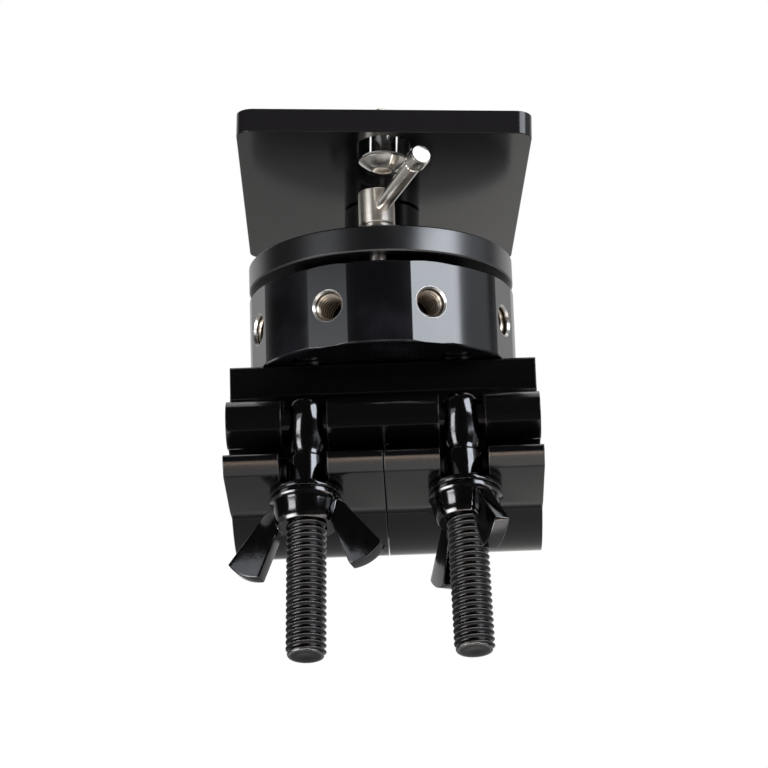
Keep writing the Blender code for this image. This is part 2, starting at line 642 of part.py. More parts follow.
def make_ring_screws(material):
    """Four cap screws from under the drum up into the clamp ring."""
    seat = DRUM_BOTTOM + COUNTERBORE_DEPTH - TOUCH_GAP
    length = RING_BOTTOM + RING_SCREW_THREAD_IN_RING - seat
    for index, (x, y) in enumerate(ring_screw_places()):
        shape = cap_screw(RING_SCREW_DIAMETER, length, RING_SCREW_HEAD_DIAMETER, RING_SCREW_HEAD_HEIGHT)
        screw = new_object("ring_screw_%d" % (index + 1), moved(turned(shape, math.pi, "X"), (x, y, seat)), material)
        socket = turned(hex_socket(RING_SCREW_SOCKET_WIDTH, RING_SCREW_HEAD_HEIGHT / 2), math.pi, "X")
        cut(screw, moved(socket, (x, y, seat - RING_SCREW_HEAD_HEIGHT)), "ring_screw_socket_%d" % index)


def make_lock_lever(steel):
    """Collar, hub, arm and screw of the lever that pulls the ring down on the ball."""
    frame = new_frame("lock_lever_frame", (0, -LOCK_RADIUS, RING_TOP))
    inner = LOCK_SCREW_DIAMETER / 2 + SCREW_GAP
    low = TOUCH_GAP
    high = low + COLLAR_THICKNESS
    outer = COLLAR_DIAMETER / 2
    shape = lathe([(inner, low), (outer, low), (outer, high), (inner, high)], MIDDLE)
    new_object("lock_collar", shape, steel, frame)
    foot = high + TOUCH_GAP
    top = foot + HUB_HEIGHT
    hub_radius = HUB_DIAMETER / 2
    socket = foot + 0.7 * HUB_HEIGHT
    shape = lathe([(inner, foot), (hub_radius - 0.3, foot), (hub_radius, foot + 0.3), (hub_radius, top - 0.5),
                   (hub_radius - 0.5, top), (0, top), (0, socket), (inner, socket)], MIDDLE)
    hub = new_object("lock_lever_hub", shape, steel, frame)
    arm_height = foot + 0.42 * HUB_HEIGHT
    to_arm = Matrix.Rotation(ARM_BEARING, 3, "Z") @ Matrix.Rotation(math.pi / 2 - ARM_RISE, 3, "Y")
    start = inner + 1.2
    bore = lathe([(0, start - 0.3), (ARM_DIAMETER / 2 + SCREW_GAP, start - 0.3),
                  (ARM_DIAMETER / 2 + SCREW_GAP, 12.0), (0, 12.0)], COARSE)
    bmesh.ops.rotate(bore, verts=bore.verts, matrix=to_arm)
    cut(hub, moved(bore, (0, 0, arm_height)), "arm_socket")
    radius = ARM_DIAMETER / 2
    wide = ARM_TIP_DIAMETER / 2
    arm = lathe([(0, start), (radius, start), (radius + 0.35, ARM_LENGTH - 6.2), (wide - 0.35, ARM_LENGTH - 5.6),
                 (wide, ARM_LENGTH - 1.0), (wide - 0.8, ARM_LENGTH - 0.2), (0, ARM_LENGTH)], COARSE)
    bmesh.ops.rotate(arm, verts=arm.verts, matrix=to_arm)
    new_object("lock_lever_arm", moved(arm, (0, 0, arm_height)), steel, frame)
    radius = LOCK_SCREW_DIAMETER / 2
    tip = DRUM_TOP - LOCK_SCREW_IN_DRUM - RING_TOP
    shape = lathe([(0, tip), (radius - 0.5, tip), (radius, tip + 0.5), (radius, socket - 0.3), (0, socket - 0.3)],
                  COARSE)
    new_object("lock_screw", shape, steel, frame)


def make_ball(frame, material):
    """The ball, cut flat on top for the column and counterbored below for its bolt."""
    flat = math.degrees(math.asin(BALL_FLAT / BALL_RADIUS))
    head = COLUMN_BOLT_HEAD_DIAMETER / 2 + SCREW_GAP + 0.1
    radius = COLUMN_BOLT_DIAMETER / 2 + SCREW_GAP
    seat = -BALL_RADIUS + BALL_BOLT_SEAT_DEPTH
    bottom = -math.degrees(math.acos(head / BALL_RADIUS))
    angles = [bottom + (flat - bottom) * index / 9 for index in range(10)]
    profile = [(BALL_RADIUS * math.cos(math.radians(a)), BALL_RADIUS * math.sin(math.radians(a))) for a in angles]
    profile += [(radius, BALL_FLAT), (radius, seat), (head, seat)]
    return new_object("ball", lathe(profile, MIDDLE), material, frame)


def make_column(frame, material):
    """The short round column between ball and plate."""
    rim = COLUMN_RADIUS
    bolt = COLUMN_BOLT_DIAMETER / 2 + SCREW_GAP
    blind = COLUMN_BOTTOM + COLUMN_BOLT_IN_COLUMN + 0.6
    profile = [(bolt, COLUMN_BOTTOM), (rim - 0.6, COLUMN_BOTTOM), (rim, COLUMN_BOTTOM + 0.6),
               (rim, COLUMN_TOP - 0.4), (rim - 0.4, COLUMN_TOP), (0, COLUMN_TOP), (0, blind), (bolt, blind)]
    column = new_object("column", lathe(profile, FINE), material, frame)
    for index, (x, y) in enumerate(plate_screw_places()):
        shape = hole(PLATE_SCREW_DIAMETER / 2 + SCREW_GAP, COLUMN_TOP - PLATE_SCREW_IN_COLUMN - 0.6,
                     COLUMN_TOP + 2, 16)
        cut(column, moved(shape, (x, y, 0)), "column_tap_%d" % index)
    return column


def make_column_bolt(frame, material):
    """The cap screw that holds the column to the ball."""
    seat = -BALL_RADIUS + BALL_BOLT_SEAT_DEPTH - TOUCH_GAP
    length = COLUMN_BOTTOM + COLUMN_BOLT_IN_COLUMN - seat
    shape = cap_screw(COLUMN_BOLT_DIAMETER, length, COLUMN_BOLT_HEAD_DIAMETER, COLUMN_BOLT_HEAD_HEIGHT)
    bolt = new_object("column_bolt", moved(turned(shape, math.pi, "X"), (0, 0, seat)), material, frame)
    socket = turned(hex_socket(COLUMN_BOLT_SOCKET_WIDTH, COLUMN_BOLT_HEAD_HEIGHT / 2), math.pi, "X")
    cut(bolt, moved(socket, (0, 0, seat - COLUMN_BOLT_HEAD_HEIGHT)), "column_bolt_socket")
    return bolt


def plate_screw_places():
    """Where the plate screws stand above the column."""
    places = []
    for index in range(PLATE_SCREW_COUNT):
        angle = math.radians(45 + 360 / PLATE_SCREW_COUNT * index)
        places.append((PLATE_SCREW_CIRCLE_RADIUS * math.cos(angle), PLATE_SCREW_CIRCLE_RADIUS * math.sin(angle)))
    return places


def make_plate(frame, material):
    """The camera plate, with a counterbored slot for the camera screw."""
    half = PLATE_WIDTH / 2
    front = -PLATE_FRONT
    back = PLATE_LENGTH - PLATE_FRONT
    corner = PLATE_CORNER_RADIUS
    low = PLATE_UNDERSIDE_HEIGHT

    def outline(inset):
        radius = corner - inset
        points = []
        for x, y, start in ((half, back, 0), (-half, back, 90), (-half, front, 180), (half, front, 270)):
            centre = (x - math.copysign(corner, x), y - math.copysign(corner, y))
            points += arc(centre, radius, start, start + 90, 6)
        return points

    layers = [(PLATE_CHAMFER, low), (0, low + PLATE_CHAMFER), (0, PLATE_TOP - PLATE_CHAMFER), (PLATE_CHAMFER, PLATE_TOP)]
    shape = bmesh.new()
    rings = [[shape.verts.new((x, y, z)) for x, y in outline(inset)] for inset, z in layers]
    for lower, upper in zip(rings, rings[1:]):
        for index in range(len(lower)):
            after = (index + 1) % len(lower)
            shape.faces.new((lower[index], lower[after], upper[after], upper[index]))
    shape.faces.new(rings[0])
    shape.faces.new(rings[-1])
    plate = new_object("camera_plate", shape, material, frame)
    start = front + SLOT_FRONT_WALL + SLOT_WIDTH / 2
    end = front + SLOT_FRONT_WALL + SLOT_LENGTH - SLOT_WIDTH / 2
    cut(plate, prism(stadium(SLOT_WIDTH / 2, start, end), low - 2, low + SLOT_DEPTH, "Z"), "screw_recess")
    cut(plate, prism(stadium(THROUGH_SLOT_WIDTH / 2, start, end, 8), low - 1, PLATE_TOP + 2, "Z"), "screw_slot")
    for index, (x, y) in enumerate(plate_screw_places()):
        shape = flat_screw_hole(PLATE_SCREW_DIAMETER, PLATE_THICKNESS + 2, PLATE_SCREW_HEAD_DIAMETER)
        cut(plate, moved(shape, (x, y, PLATE_TOP - PLATE_SCREW_RECESS)), "plate_screw_hole_%d" % index)
    return plate


def make_plate_screws(frame, material):
    """Countersunk screws that hold the plate on the column."""
    length = PLATE_THICKNESS + TOUCH_GAP + PLATE_SCREW_IN_COLUMN
    for index, (x, y) in enumerate(plate_screw_places()):
        face = PLATE_TOP - PLATE_SCREW_RECESS
        shape = moved(flat_screw(PLATE_SCREW_DIAMETER, length, PLATE_SCREW_HEAD_DIAMETER), (x, y, face))
        screw = new_object("plate_screw_%d" % (index + 1), shape, material, frame)
        socket = hex_socket(PLATE_SCREW_SOCKET_WIDTH, PLATE_SCREW_SOCKET_DEPTH)
        cut(screw, moved(socket, (x, y, face)), "plate_screw_socket_%d" % index)


def make_camera_screw(frame, steel, washer_material):
    """The captive camera screw, hanging on its thread's shoulder, and its washer."""
    thread = CAMERA_THREAD_DIAMETER / 2
    shank = CAMERA_SHANK_DIAMETER / 2
    rim = CAMERA_HEAD_DIAMETER / 2
    shoulder = PLATE_TOP + TOUCH_GAP
    head_top = PLATE_UNDERSIDE_HEIGHT - CAMERA_HEAD_DROP
    dome = head_top - CAMERA_HEAD_RIM - CAMERA_HEAD_DOME
    flat = CAMERA_HEAD_FLAT_RADIUS
    profile = [(0, dome)]
    profile += [(flat + (rim - flat) * part, dome + CAMERA_HEAD_DOME * part ** 1.4) for part in (0, 0.25, 0.5, 0.75, 1)]
    profile += [(rim - 0.2, head_top), (shank, head_top), (shank, shoulder),
                (thread, shoulder), (thread, shoulder + CAMERA_THREAD_LENGTH - 1.5),
                (thread - 1.5, shoulder + CAMERA_THREAD_LENGTH), (0, shoulder + CAMERA_THREAD_LENGTH)]
    place = new_frame("camera_screw_frame", (0, 0, 0))
    place.parent = frame
    place.matrix_parent_inverse = Matrix.Identity(4)
    place.matrix_basis = Matrix.Translation((0, CAMERA_SCREW_Y * MM, 0))
    screw = new_object("camera_screw", lathe(profile, MIDDLE), steel, place)
    socket = turned(hex_socket(CAMERA_SOCKET_WIDTH, CAMERA_SOCKET_DEPTH), math.pi, "X")
    cut(screw, moved(socket, (0, 0, dome)), "camera_screw_socket")
    low = head_top + TOUCH_GAP
    high = low + CAMERA_WASHER_THICKNESS
    inner = shank + SCREW_GAP
    outer = CAMERA_WASHER_DIAMETER / 2
    shape = lathe([(inner, low), (outer, low), (outer, high), (inner, high)], MIDDLE)
    new_object("camera_screw_washer", shape, washer_material, place)


def build():
    """Make every piece."""
    clear_scene()
    satin = make_material("satin_black_aluminium", (0.018, 0.018, 0.020), 0.9, 0.42)
    gloss = make_material("gloss_black_aluminium", (0.014, 0.014, 0.016), 0.9, 0.28)
    plated = make_material("black_plated_steel", (0.022, 0.022, 0.026), 1.0, 0.24)
    oxide = make_material("black_oxide_steel", (0.030, 0.030, 0.032), 1.0, 0.40)
    stainless = make_material("stainless_steel", (0.60, 0.58, 0.55), 1.0, 0.24)
    chrome = make_material("bright_steel", (0.66, 0.66, 0.67), 1.0, 0.14)
    plastic = make_material("white_plastic", (0.70, 0.69, 0.66), 0.0, 0.45)

    make_clamp_body(gloss)
    make_pin("eye_bolt_pin", EYE_PIN_DIAMETER, BARREL_Y, BARREL_Z, oxide)
    make_pin("jaw_hinge_pin", HINGE_PIN_DIAMETER, HINGE_Y, 0, oxide)
    for side, sign, turn, lean, shift in (("left", -1, LEFT_NUT_TURN, LEFT_BOLT_LEAN, LEFT_BOLT_SHIFT),
                                          ("right", 1, RIGHT_NUT_TURN, RIGHT_BOLT_LEAN, RIGHT_BOLT_SHIFT)):
        make_jaw(side, sign, gloss)
        make_clamp_bolt(side, sign, oxide)
        frame = new_frame("eye_bolt_frame_" + side, (sign * BOLT_X + shift, BARREL_Y, BARREL_Z),
                          Matrix.Rotation(lean, 3, "Y") @ Matrix.Rotation(-BOLT_TILT, 3, "X"))
        make_eye_bolt(side, frame, plated)
        make_washer(side, frame, plated)
        make_wing_nut(side, frame, turn, plated)

    make_drum(satin)
    make_liner(plastic)
    make_ring(satin)
    make_ring_screws(oxide)
    make_lock_lever(stainless)

    turn = Matrix.Rotation(LEVEL_TILT, 3, "Y") @ Matrix.Rotation(PAN_TURN, 3, "Z")
    ball_frame = new_frame("ball_frame", (0, 0, BALL_Z), turn)
    make_ball(ball_frame, oxide)
    make_column(ball_frame, satin)
    make_column_bolt(ball_frame, oxide)
    make_plate(ball_frame, satin)
    make_plate_screws(ball_frame, oxide)
    make_camera_screw(ball_frame, chrome, plastic)


build()
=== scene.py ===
import math

import bpy
from mathutils import Matrix, Vector


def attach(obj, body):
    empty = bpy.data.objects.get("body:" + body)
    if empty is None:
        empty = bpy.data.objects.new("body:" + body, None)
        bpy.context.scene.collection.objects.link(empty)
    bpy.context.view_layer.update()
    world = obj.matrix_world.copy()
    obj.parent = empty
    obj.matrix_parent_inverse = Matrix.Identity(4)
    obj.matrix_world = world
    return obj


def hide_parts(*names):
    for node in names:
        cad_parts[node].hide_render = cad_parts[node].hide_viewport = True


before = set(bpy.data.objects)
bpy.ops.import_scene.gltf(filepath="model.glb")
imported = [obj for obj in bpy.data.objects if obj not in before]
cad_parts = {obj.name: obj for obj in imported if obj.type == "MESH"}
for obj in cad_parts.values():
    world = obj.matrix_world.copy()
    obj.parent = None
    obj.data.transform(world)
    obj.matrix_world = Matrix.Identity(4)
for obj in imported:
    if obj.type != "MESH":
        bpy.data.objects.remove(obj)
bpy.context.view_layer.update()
bpy.ops.object.select_all(action="DESELECT")

# The studio: a wide pale floor well under the part and a pale surround behind it, while the side
# where the camera stands is dark. A large softbox stands on the right, smaller lamps on the left,
# a low one and a thin warm strip in front, and a dim one above.
mm = 0.001
floor_height = -330
scene = bpy.context.scene
scene.view_settings.view_transform = "Standard"


def ramp(tree, value, start, end, low=0.0, high=1.0, smooth=True):
    """A number that runs from low to high while a value runs from start to end."""
    node = tree.nodes.new("ShaderNodeMapRange")
    node.interpolation_type = "SMOOTHSTEP" if smooth else "LINEAR"
    node.inputs["From Min"].default_value = start
    node.inputs["From Max"].default_value = end
    node.inputs["To Min"].default_value = low
    node.inputs["To Max"].default_value = high
    tree.links.new(value, node.inputs["Value"])
    return node.outputs["Result"]


def arithmetic(tree, operation, *numbers):
    """A sum or product of numbers, each one fixed or read from a socket."""
    node = tree.nodes.new("ShaderNodeMath")
    node.operation = operation
    for socket, number in zip(node.inputs, numbers):
        if isinstance(number, (int, float)):
            socket.default_value = number
        else:
            tree.links.new(number, socket)
    return node.outputs[0]


def mixed_shader(tree, share, first, second):
    """Two shaders mixed by the share of the second one."""
    node = tree.nodes.new("ShaderNodeMixShader")
    tree.links.new(share, node.inputs["Fac"])
    tree.links.new(first, node.inputs[1])
    tree.links.new(second, node.inputs[2])
    return node.outputs["Shader"]


bpy.ops.mesh.primitive_plane_add(size=8.0, location=(0, 0, floor_height * mm))
floor = bpy.context.object
floor.name = "studio_floor"
floor_paper = bpy.data.materials.new("floor_paper")
floor_paper.use_nodes = True
tree = floor_paper.node_tree
paper = tree.nodes["Principled BSDF"]
paper.inputs["Base Color"].default_value = (0.82, 0.82, 0.82, 1)
paper.inputs["Roughness"].default_value = 0.9

# The floor as polished metal sees it: a pool of light in front of the part, weaker right under it
# and stronger towards the right. Distances are in metres.
spot = tree.nodes.new("ShaderNodeTexCoord")
across = tree.nodes.new("ShaderNodeSeparateXYZ")
tree.links.new(spot.outputs["Object"], across.inputs[0])
from_the_front = ramp(tree, across.outputs["Y"], -0.52, -0.34, 0.04, 1.0)
under_the_part = ramp(tree, across.outputs["Y"], -0.25, -0.06, 1.0, 0.30)
far_behind = ramp(tree, across.outputs["Y"], 0.40, 1.10, 0.0, 0.12)
to_the_right = ramp(tree, across.outputs["X"], -0.13, 0.13, 0.78, 1.45)
pool = arithmetic(tree, "MULTIPLY_ADD", from_the_front, under_the_part, far_behind)
lit_paper = tree.nodes.new("ShaderNodeEmission")
lit_paper.inputs["Color"].default_value = (1.0, 0.98, 0.96, 1)
tree.links.new(arithmetic(tree, "MULTIPLY", pool, to_the_right), lit_paper.inputs["Strength"])

# The floor as the camera sees it: three quarters a plain pale tone, the rest paper with its shadow.
pale_share = 0.75
pale = tree.nodes.new("ShaderNodeEmission")
pale.inputs["Color"].default_value = (0.92, 0.92, 0.92, 1)
ray = tree.nodes.new("ShaderNodeLightPath")
pale_part = arithmetic(tree, "MULTIPLY", ray.outputs["Is Camera Ray"], pale_share)
seen_floor = mixed_shader(tree, pale_part, paper.outputs["BSDF"], pale.outputs["Emission"])
whole_floor = mixed_shader(tree, ray.outputs["Is Glossy Ray"], seen_floor, lit_paper.outputs["Emission"])
tree.links.new(whole_floor, tree.nodes["Material Output"].inputs["Surface"])
floor.data.materials.append(floor_paper)

world = bpy.data.worlds.new("studio_surround")
scene.world = world
world.use_nodes = True
tree = world.node_tree
tree.nodes.clear()
direction = tree.nodes.new("ShaderNodeTexCoord")
split = tree.nodes.new("ShaderNodeSeparateXYZ")
tree.links.new(direction.outputs["Generated"], split.inputs[0])
surround = tree.nodes.new("ShaderNodeBackground")
tree.links.new(ramp(tree, split.outputs["Y"], 0.30, 0.72, 0.025, 0.80), surround.inputs["Color"])
seen_wall = tree.nodes.new("ShaderNodeBackground")
seen_wall.inputs["Color"].default_value = (1, 1, 1, 1)
ray = tree.nodes.new("ShaderNodeLightPath")
output = tree.nodes.new("ShaderNodeOutputWorld")
tree.links.new(mixed_shader(tree, ray.outputs["Is Camera Ray"], surround.outputs[0], seen_wall.outputs[0]),
               output.inputs["Surface"])


def softbox(name, bearing, height, distance, width, tall, radiance, tint=(1, 1, 1), aim=(0, 0, 0.02),
            spread=180):
    """A rectangular studio lamp in metres, at a bearing in degrees from +X, facing the part."""
    lamp = bpy.data.lights.new(name, "AREA")
    lamp.shape = "RECTANGLE"
    lamp.size = width
    lamp.size_y = tall
    lamp.energy = radiance * math.pi * width * tall
    lamp.color = tint
    lamp.spread = math.radians(spread)
    stand = bpy.data.objects.new(name, lamp)
    scene.collection.objects.link(stand)
    angle = math.radians(bearing)
    stand.location = (distance * math.cos(angle), distance * math.sin(angle), height)
    stand.rotation_euler = (Vector(aim) - stand.location).to_track_quat("-Z", "Y").to_euler()
    stand.visible_camera = False


cool_white = (0.94, 0.98, 1.04)
cold_white = (0.92, 0.97, 1.05)
warm_wood = (1.30, 0.92, 0.66)
softbox("softbox_right", -37, 0.44, 0.85, 0.56, 0.54, 5.4, cold_white)
softbox("softbox_far_right", -4, 0.24, 0.90, 0.60, 0.50, 0.4, cool_white)
softbox("softbox_left", -137, 0.25, 0.85, 0.50, 0.14, 0.9, cool_white)
softbox("window_left", -136, 0.07, 0.85, 0.34, 0.15, 5.0)
softbox("softbox_low_left", -142, -0.28, 0.48, 0.38, 0.28, 1.1, aim=(0.02, -0.05, -0.04), spread=60)
softbox("table_edge", -92, -0.28, 0.34, 1.20, 0.008, 6.0, warm_wood, aim=(0, -0.04, 0.01))
softbox("softbox_top", 60, 1.20, 0.35, 0.90, 0.90, 1.2)

# The camera stands in front, lower than the part, and looks up at it.
camera_place = (14.26, -869.89, -216.23)
camera_turn = (105.7016, 1.7569, 1.4338)
view = bpy.data.cameras.new("camera")
view.sensor_width = 36.0
view.lens = 126.465
view.clip_start = 0.01
camera = bpy.data.objects.new("camera", view)
scene.collection.objects.link(camera)
camera.location = Vector(camera_place) * mm
camera.rotation_euler = [math.radians(angle) for angle in camera_turn]
scene.camera = camera

# The upper half of the pipe clamp: one black anodised aluminium extrusion with a flange on top,
# the roof of the pipe's bore, a barrel for the swing bolts and knuckles for the hinge. Its sawn
# edges are broken slightly.
body_edge = 0.55
edge_angle = math.radians(34)
smooth_angle = math.radians(32)
merge_gap = 0.000002


def shader_group(name, numbers, results):
    """An empty shader node group, with its input and output nodes."""
    group = bpy.data.node_groups.new(name, "ShaderNodeTree")
    for label, value in numbers:
        kind = "NodeSocketVector" if isinstance(value, tuple) else "NodeSocketFloat"
        socket = group.interface.new_socket(label, in_out="INPUT", socket_type=kind)
        socket.default_value = value
    for label, kind in results:
        group.interface.new_socket(label, in_out="OUTPUT", socket_type=kind)
    return group, group.nodes.new("NodeGroupInput"), group.nodes.new("NodeGroupOutput")


# Fine lines that a die, a lathe or a brush leaves, stretched along one direction.
tool_lines, values, result = shader_group("tool_lines", [("Stretch", (1.0, 1.0, 1.0)), ("Contrast", 1.0)],
                                          [("Lines", "NodeSocketFloat")])
place = tool_lines.nodes.new("ShaderNodeTexCoord")
stretched = tool_lines.nodes.new("ShaderNodeVectorMath")
stretched.operation = "MULTIPLY"
tool_lines.links.new(place.outputs["Object"], stretched.inputs[0])
tool_lines.links.new(values.outputs["Stretch"], stretched.inputs[1])
grain = tool_lines.nodes.new("ShaderNodeTexNoise")
grain.inputs["Scale"].default_value = 1.0
grain.inputs["Detail"].default_value = 4.0
grain.inputs["Roughness"].default_value = 0.65
tool_lines.links.new(stretched.outputs[0], grain.inputs["Vector"])
centred = arithmetic(tool_lines, "SUBTRACT", grain.outputs["Fac"], 0.5)
tool_lines.links.new(arithmetic(tool_lines, "MULTIPLY_ADD", centred, values.outputs["Contrast"], 0.5),
                     result.inputs["Lines"])

# Faint handling marks: soft cloudy patches with a few small specks of dust in them.
handling, values, result = shader_group("handling_marks", [("Patch Size", 30.0), ("Dust", 0.5)],
                                        [("Patches", "NodeSocketFloat"), ("Specks", "NodeSocketFloat")])
place = handling.nodes.new("ShaderNodeTexCoord")
cloud = handling.nodes.new("ShaderNodeTexNoise")
cloud.inputs["Detail"].default_value = 3.0
handling.links.new(place.outputs["Object"], cloud.inputs["Vector"])
handling.links.new(values.outputs["Patch Size"], cloud.inputs["Scale"])
spots = handling.nodes.new("ShaderNodeTexVoronoi")
spots.inputs["Scale"].default_value = 420.0
handling.links.new(place.outputs["Object"], spots.inputs["Vector"])
small = ramp(handling, spots.outputs["Distance"], 0.10, 0.04, smooth=False)
where = ramp(handling, cloud.outputs["Fac"], 0.55, 0.70, smooth=False)
dusty = arithmetic(handling, "MULTIPLY", small, where)
handling.links.new(cloud.outputs["Fac"], result.inputs["Patches"])
handling.links.new(arithmetic(handling, "MULTIPLY", dusty, values.outputs["Dust"]), result.inputs["Specks"])

# A small round on every edge, as a file or a tumbler leaves, and a mask of where that round is.
broken_edge, values, result = shader_group("broken_edge", [("Round", 0.0003)],
                                           [("Mask", "NodeSocketFloat"), ("Normal", "NodeSocketVector")])
rounded = broken_edge.nodes.new("ShaderNodeBevel")
rounded.samples = 4
broken_edge.links.new(values.outputs["Round"], rounded.inputs["Radius"])
surface = broken_edge.nodes.new("ShaderNodeNewGeometry")
agree = broken_edge.nodes.new("ShaderNodeVectorMath")
agree.operation = "DOT_PRODUCT"
broken_edge.links.new(rounded.outputs["Normal"], agree.inputs[0])
broken_edge.links.new(surface.outputs["Normal"], agree.inputs[1])
broken_edge.links.new(ramp(broken_edge, agree.outputs["Value"], 0.98, 0.80, smooth=False),
                      result.inputs["Mask"])
broken_edge.links.new(rounded.outputs["Normal"], result.inputs["Normal"])


def placed_group(tree, group, **settings):
    """A node group placed in a material with its own values."""
    node = tree.nodes.new("ShaderNodeGroup")
    node.node_tree = group
    for label, value in settings.items():
        node.inputs[label.replace("_", " ").title()].default_value = value
    return node


def mixed_tone(tree, share, first, second):
    """Two colours mixed by the share of the second one, each a fixed tone or a socket."""
    node = tree.nodes.new("ShaderNodeMix")
    node.data_type = "RGBA"
    tree.links.new(share, node.inputs["Factor"])
    for label, tone in (("A", first), ("B", second)):
        if isinstance(tone, tuple):
            node.inputs[label].default_value = (*tone, 1)
        else:
            tree.links.new(tone, node.inputs[label])
    return node.outputs["Result"]


def metal_finish(name, tone, edge_wear_and_highlight, shine, stretch, relief, metallic=0.0, patch=25.0, dust=0.3,
                 edge_round=0.0003, edge_wear_and_highlight_share=0.5, ior=1.5, contrast=1.0, shine_spread=0.10, smudge=None,
                 along=0.0):
    """A surface with its tone, the lines of its machining, handling marks and a lighter tone on its edges:
    wear, and on some finishes also a painted highlight.
    """
    material = bpy.data.materials.new(name)
    material.use_nodes = True
    tree = material.node_tree
    shader = tree.nodes["Principled BSDF"]
    shader.inputs["Metallic"].default_value = metallic
    shader.inputs["IOR"].default_value = ior
    shader.inputs["Anisotropic"].default_value = along
    shader.inputs["Anisotropic Rotation"].default_value = 0.25
    lines = placed_group(tree, tool_lines, stretch=stretch, contrast=contrast)
    marks = placed_group(tree, handling, patch_size=patch, dust=dust)
    edge = placed_group(tree, broken_edge, round=edge_round)
    darker = tuple(channel * 0.75 for channel in tone)
    lighter = tuple(channel * 1.25 for channel in tone)
    colour = mixed_tone(tree, lines.outputs["Lines"], darker, lighter)
    if smudge:
        colour = mixed_tone(tree, ramp(tree, marks.outputs["Patches"], 0.48, 0.72), colour, smudge)
    dust_grey = (0.30, 0.30, 0.30)
    colour = mixed_tone(tree, marks.outputs["Specks"], colour, dust_grey)
    # Edges take the lighter edge tone: wear, and on the clamp and the plated bolts, washers and nuts also a
    # painted highlight.
    colour = mixed_tone(tree, arithmetic(tree, "MULTIPLY", edge.outputs["Mask"], edge_wear_and_highlight_share), colour, edge_wear_and_highlight)
    tree.links.new(colour, shader.inputs["Base Color"])
    uneven = arithmetic(tree, "ADD", lines.outputs["Lines"], marks.outputs["Patches"])
    roughness = ramp(tree, uneven, 0.6, 1.4, shine - shine_spread / 2, shine + shine_spread / 2,
                     smooth=False)
    tree.links.new(roughness, shader.inputs["Roughness"])
    bump = tree.nodes.new("ShaderNodeBump")
    bump.inputs["Strength"].default_value = 1.0
    bump.inputs["Distance"].default_value = relief
    tree.links.new(lines.outputs["Lines"], bump.inputs["Height"])
    tree.links.new(edge.outputs["Normal"], bump.inputs["Normal"])
    tree.links.new(bump.outputs["Normal"], shader.inputs["Normal"])
    return material


def pick(piece):
    """Make one piece the only selected and active one."""
    bpy.ops.object.select_all(action="DESELECT")
    piece.select_set(True)
    bpy.context.view_layer.objects.active = piece


def smooth_below(piece, angle):
    """Smooth a piece's shading over every edge flatter than an angle."""
    pick(piece)
    bpy.ops.object.shade_smooth_by_angle(angle=angle)


def apply_modifier(piece, kind, **settings):
    """Give a piece a modifier with these settings and apply it at once."""
    pick(piece)
    modifier = piece.modifiers.new(kind.lower(), kind)
    for key, value in settings.items():
        setattr(modifier, key, value)
    bpy.ops.object.modifier_apply(modifier=modifier.name)


def dress(piece, material, body, slot, *stands_for):
    """Finish a piece: its material, the body it moves with and the solids it stands for."""
    piece.data.materials.clear()
    piece.data.materials.append(material)
    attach(piece, body)
    if stands_for:
        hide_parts(*stands_for)


def eased_copy(name, node, width):
    """A copy of a solid whose edges are broken with a real small bevel."""
    piece = bpy.data.objects.new(name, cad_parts[node].data.copy())
    scene.collection.objects.link(piece)
    piece.data.materials.clear()
    pick(piece)
    if piece.data.has_custom_normals:
        bpy.ops.mesh.customdata_custom_splitnormals_clear()
    bpy.ops.object.mode_set(mode="EDIT")
    bpy.ops.mesh.select_all(action="SELECT")
    bpy.ops.mesh.remove_doubles(threshold=merge_gap)
    bpy.ops.mesh.dissolve_limited(angle_limit=math.radians(0.6))
    bpy.ops.object.mode_set(mode="OBJECT")
    apply_modifier(piece, "BEVEL", width=width * mm, segments=3, limit_method="ANGLE",
                   angle_limit=edge_angle, harden_normals=False)
    smooth_below(piece, smooth_angle)
    apply_modifier(piece, "WEIGHTED_NORMAL", weight=100, keep_sharp=True)
    return piece


# The lighter tone on its edges is partly wear and partly a painted highlight along the edges.
extruded_black = metal_finish("extruded_black_anodised", tone=(0.0035, 0.0035, 0.004),
                              edge_wear_and_highlight=(0.12, 0.12, 0.12), shine=0.14, stretch=(45, 2600, 2600),
                              relief=0.0000012, dust=0.20, edge_round=0.0006, ior=1.55)
clamp_body = eased_copy("clamp_body_shell", "pipe_clamp_body", body_edge)
dress(clamp_body, extruded_black, "clamp_and_drum", "gloss_black_aluminium", "pipe_clamp_body")

# The two lower jaws: black anodised aluminium that hangs on the hinge pin, with a slotted lip in
# front for the swing bolts and a smooth half bore for the pipe.
jaw_edge = 0.60
for side in ("left", "right"):
    jaw = eased_copy("clamp_jaw_shell_" + side, "clamp_jaw_" + side, jaw_edge)
    dress(jaw, extruded_black, "jaw_" + side, "gloss_black_aluminium", "clamp_jaw_" + side)

# The hinge pin, the eye bolt pin, the inner bolts and screws and the ball: plain steel, blackened
# in a bath. They keep the shapes of their solids.
blackened_steel = metal_finish("blackened_steel", tone=(0.035, 0.035, 0.037), edge_wear_and_highlight=(0.22, 0.22, 0.21),
                               shine=0.36, stretch=(900, 900, 900), relief=0.000002, metallic=0.9)


def coat(name, material):
    """Give one of the solids its material and leave its shape as it is."""
    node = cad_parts[name]
    node.data.materials.clear()
    node.data.materials.append(material)


for name in ("eye_bolt_pin", "jaw_hinge_pin", "clamp_bolt_left", "clamp_bolt_right", "column_bolt", "ball"):
    coat(name, blackened_steel)
for index in (1, 2, 3, 4):
    coat("ring_screw_%d" % index, blackened_steel)
    coat("plate_screw_%d" % index, blackened_steel)
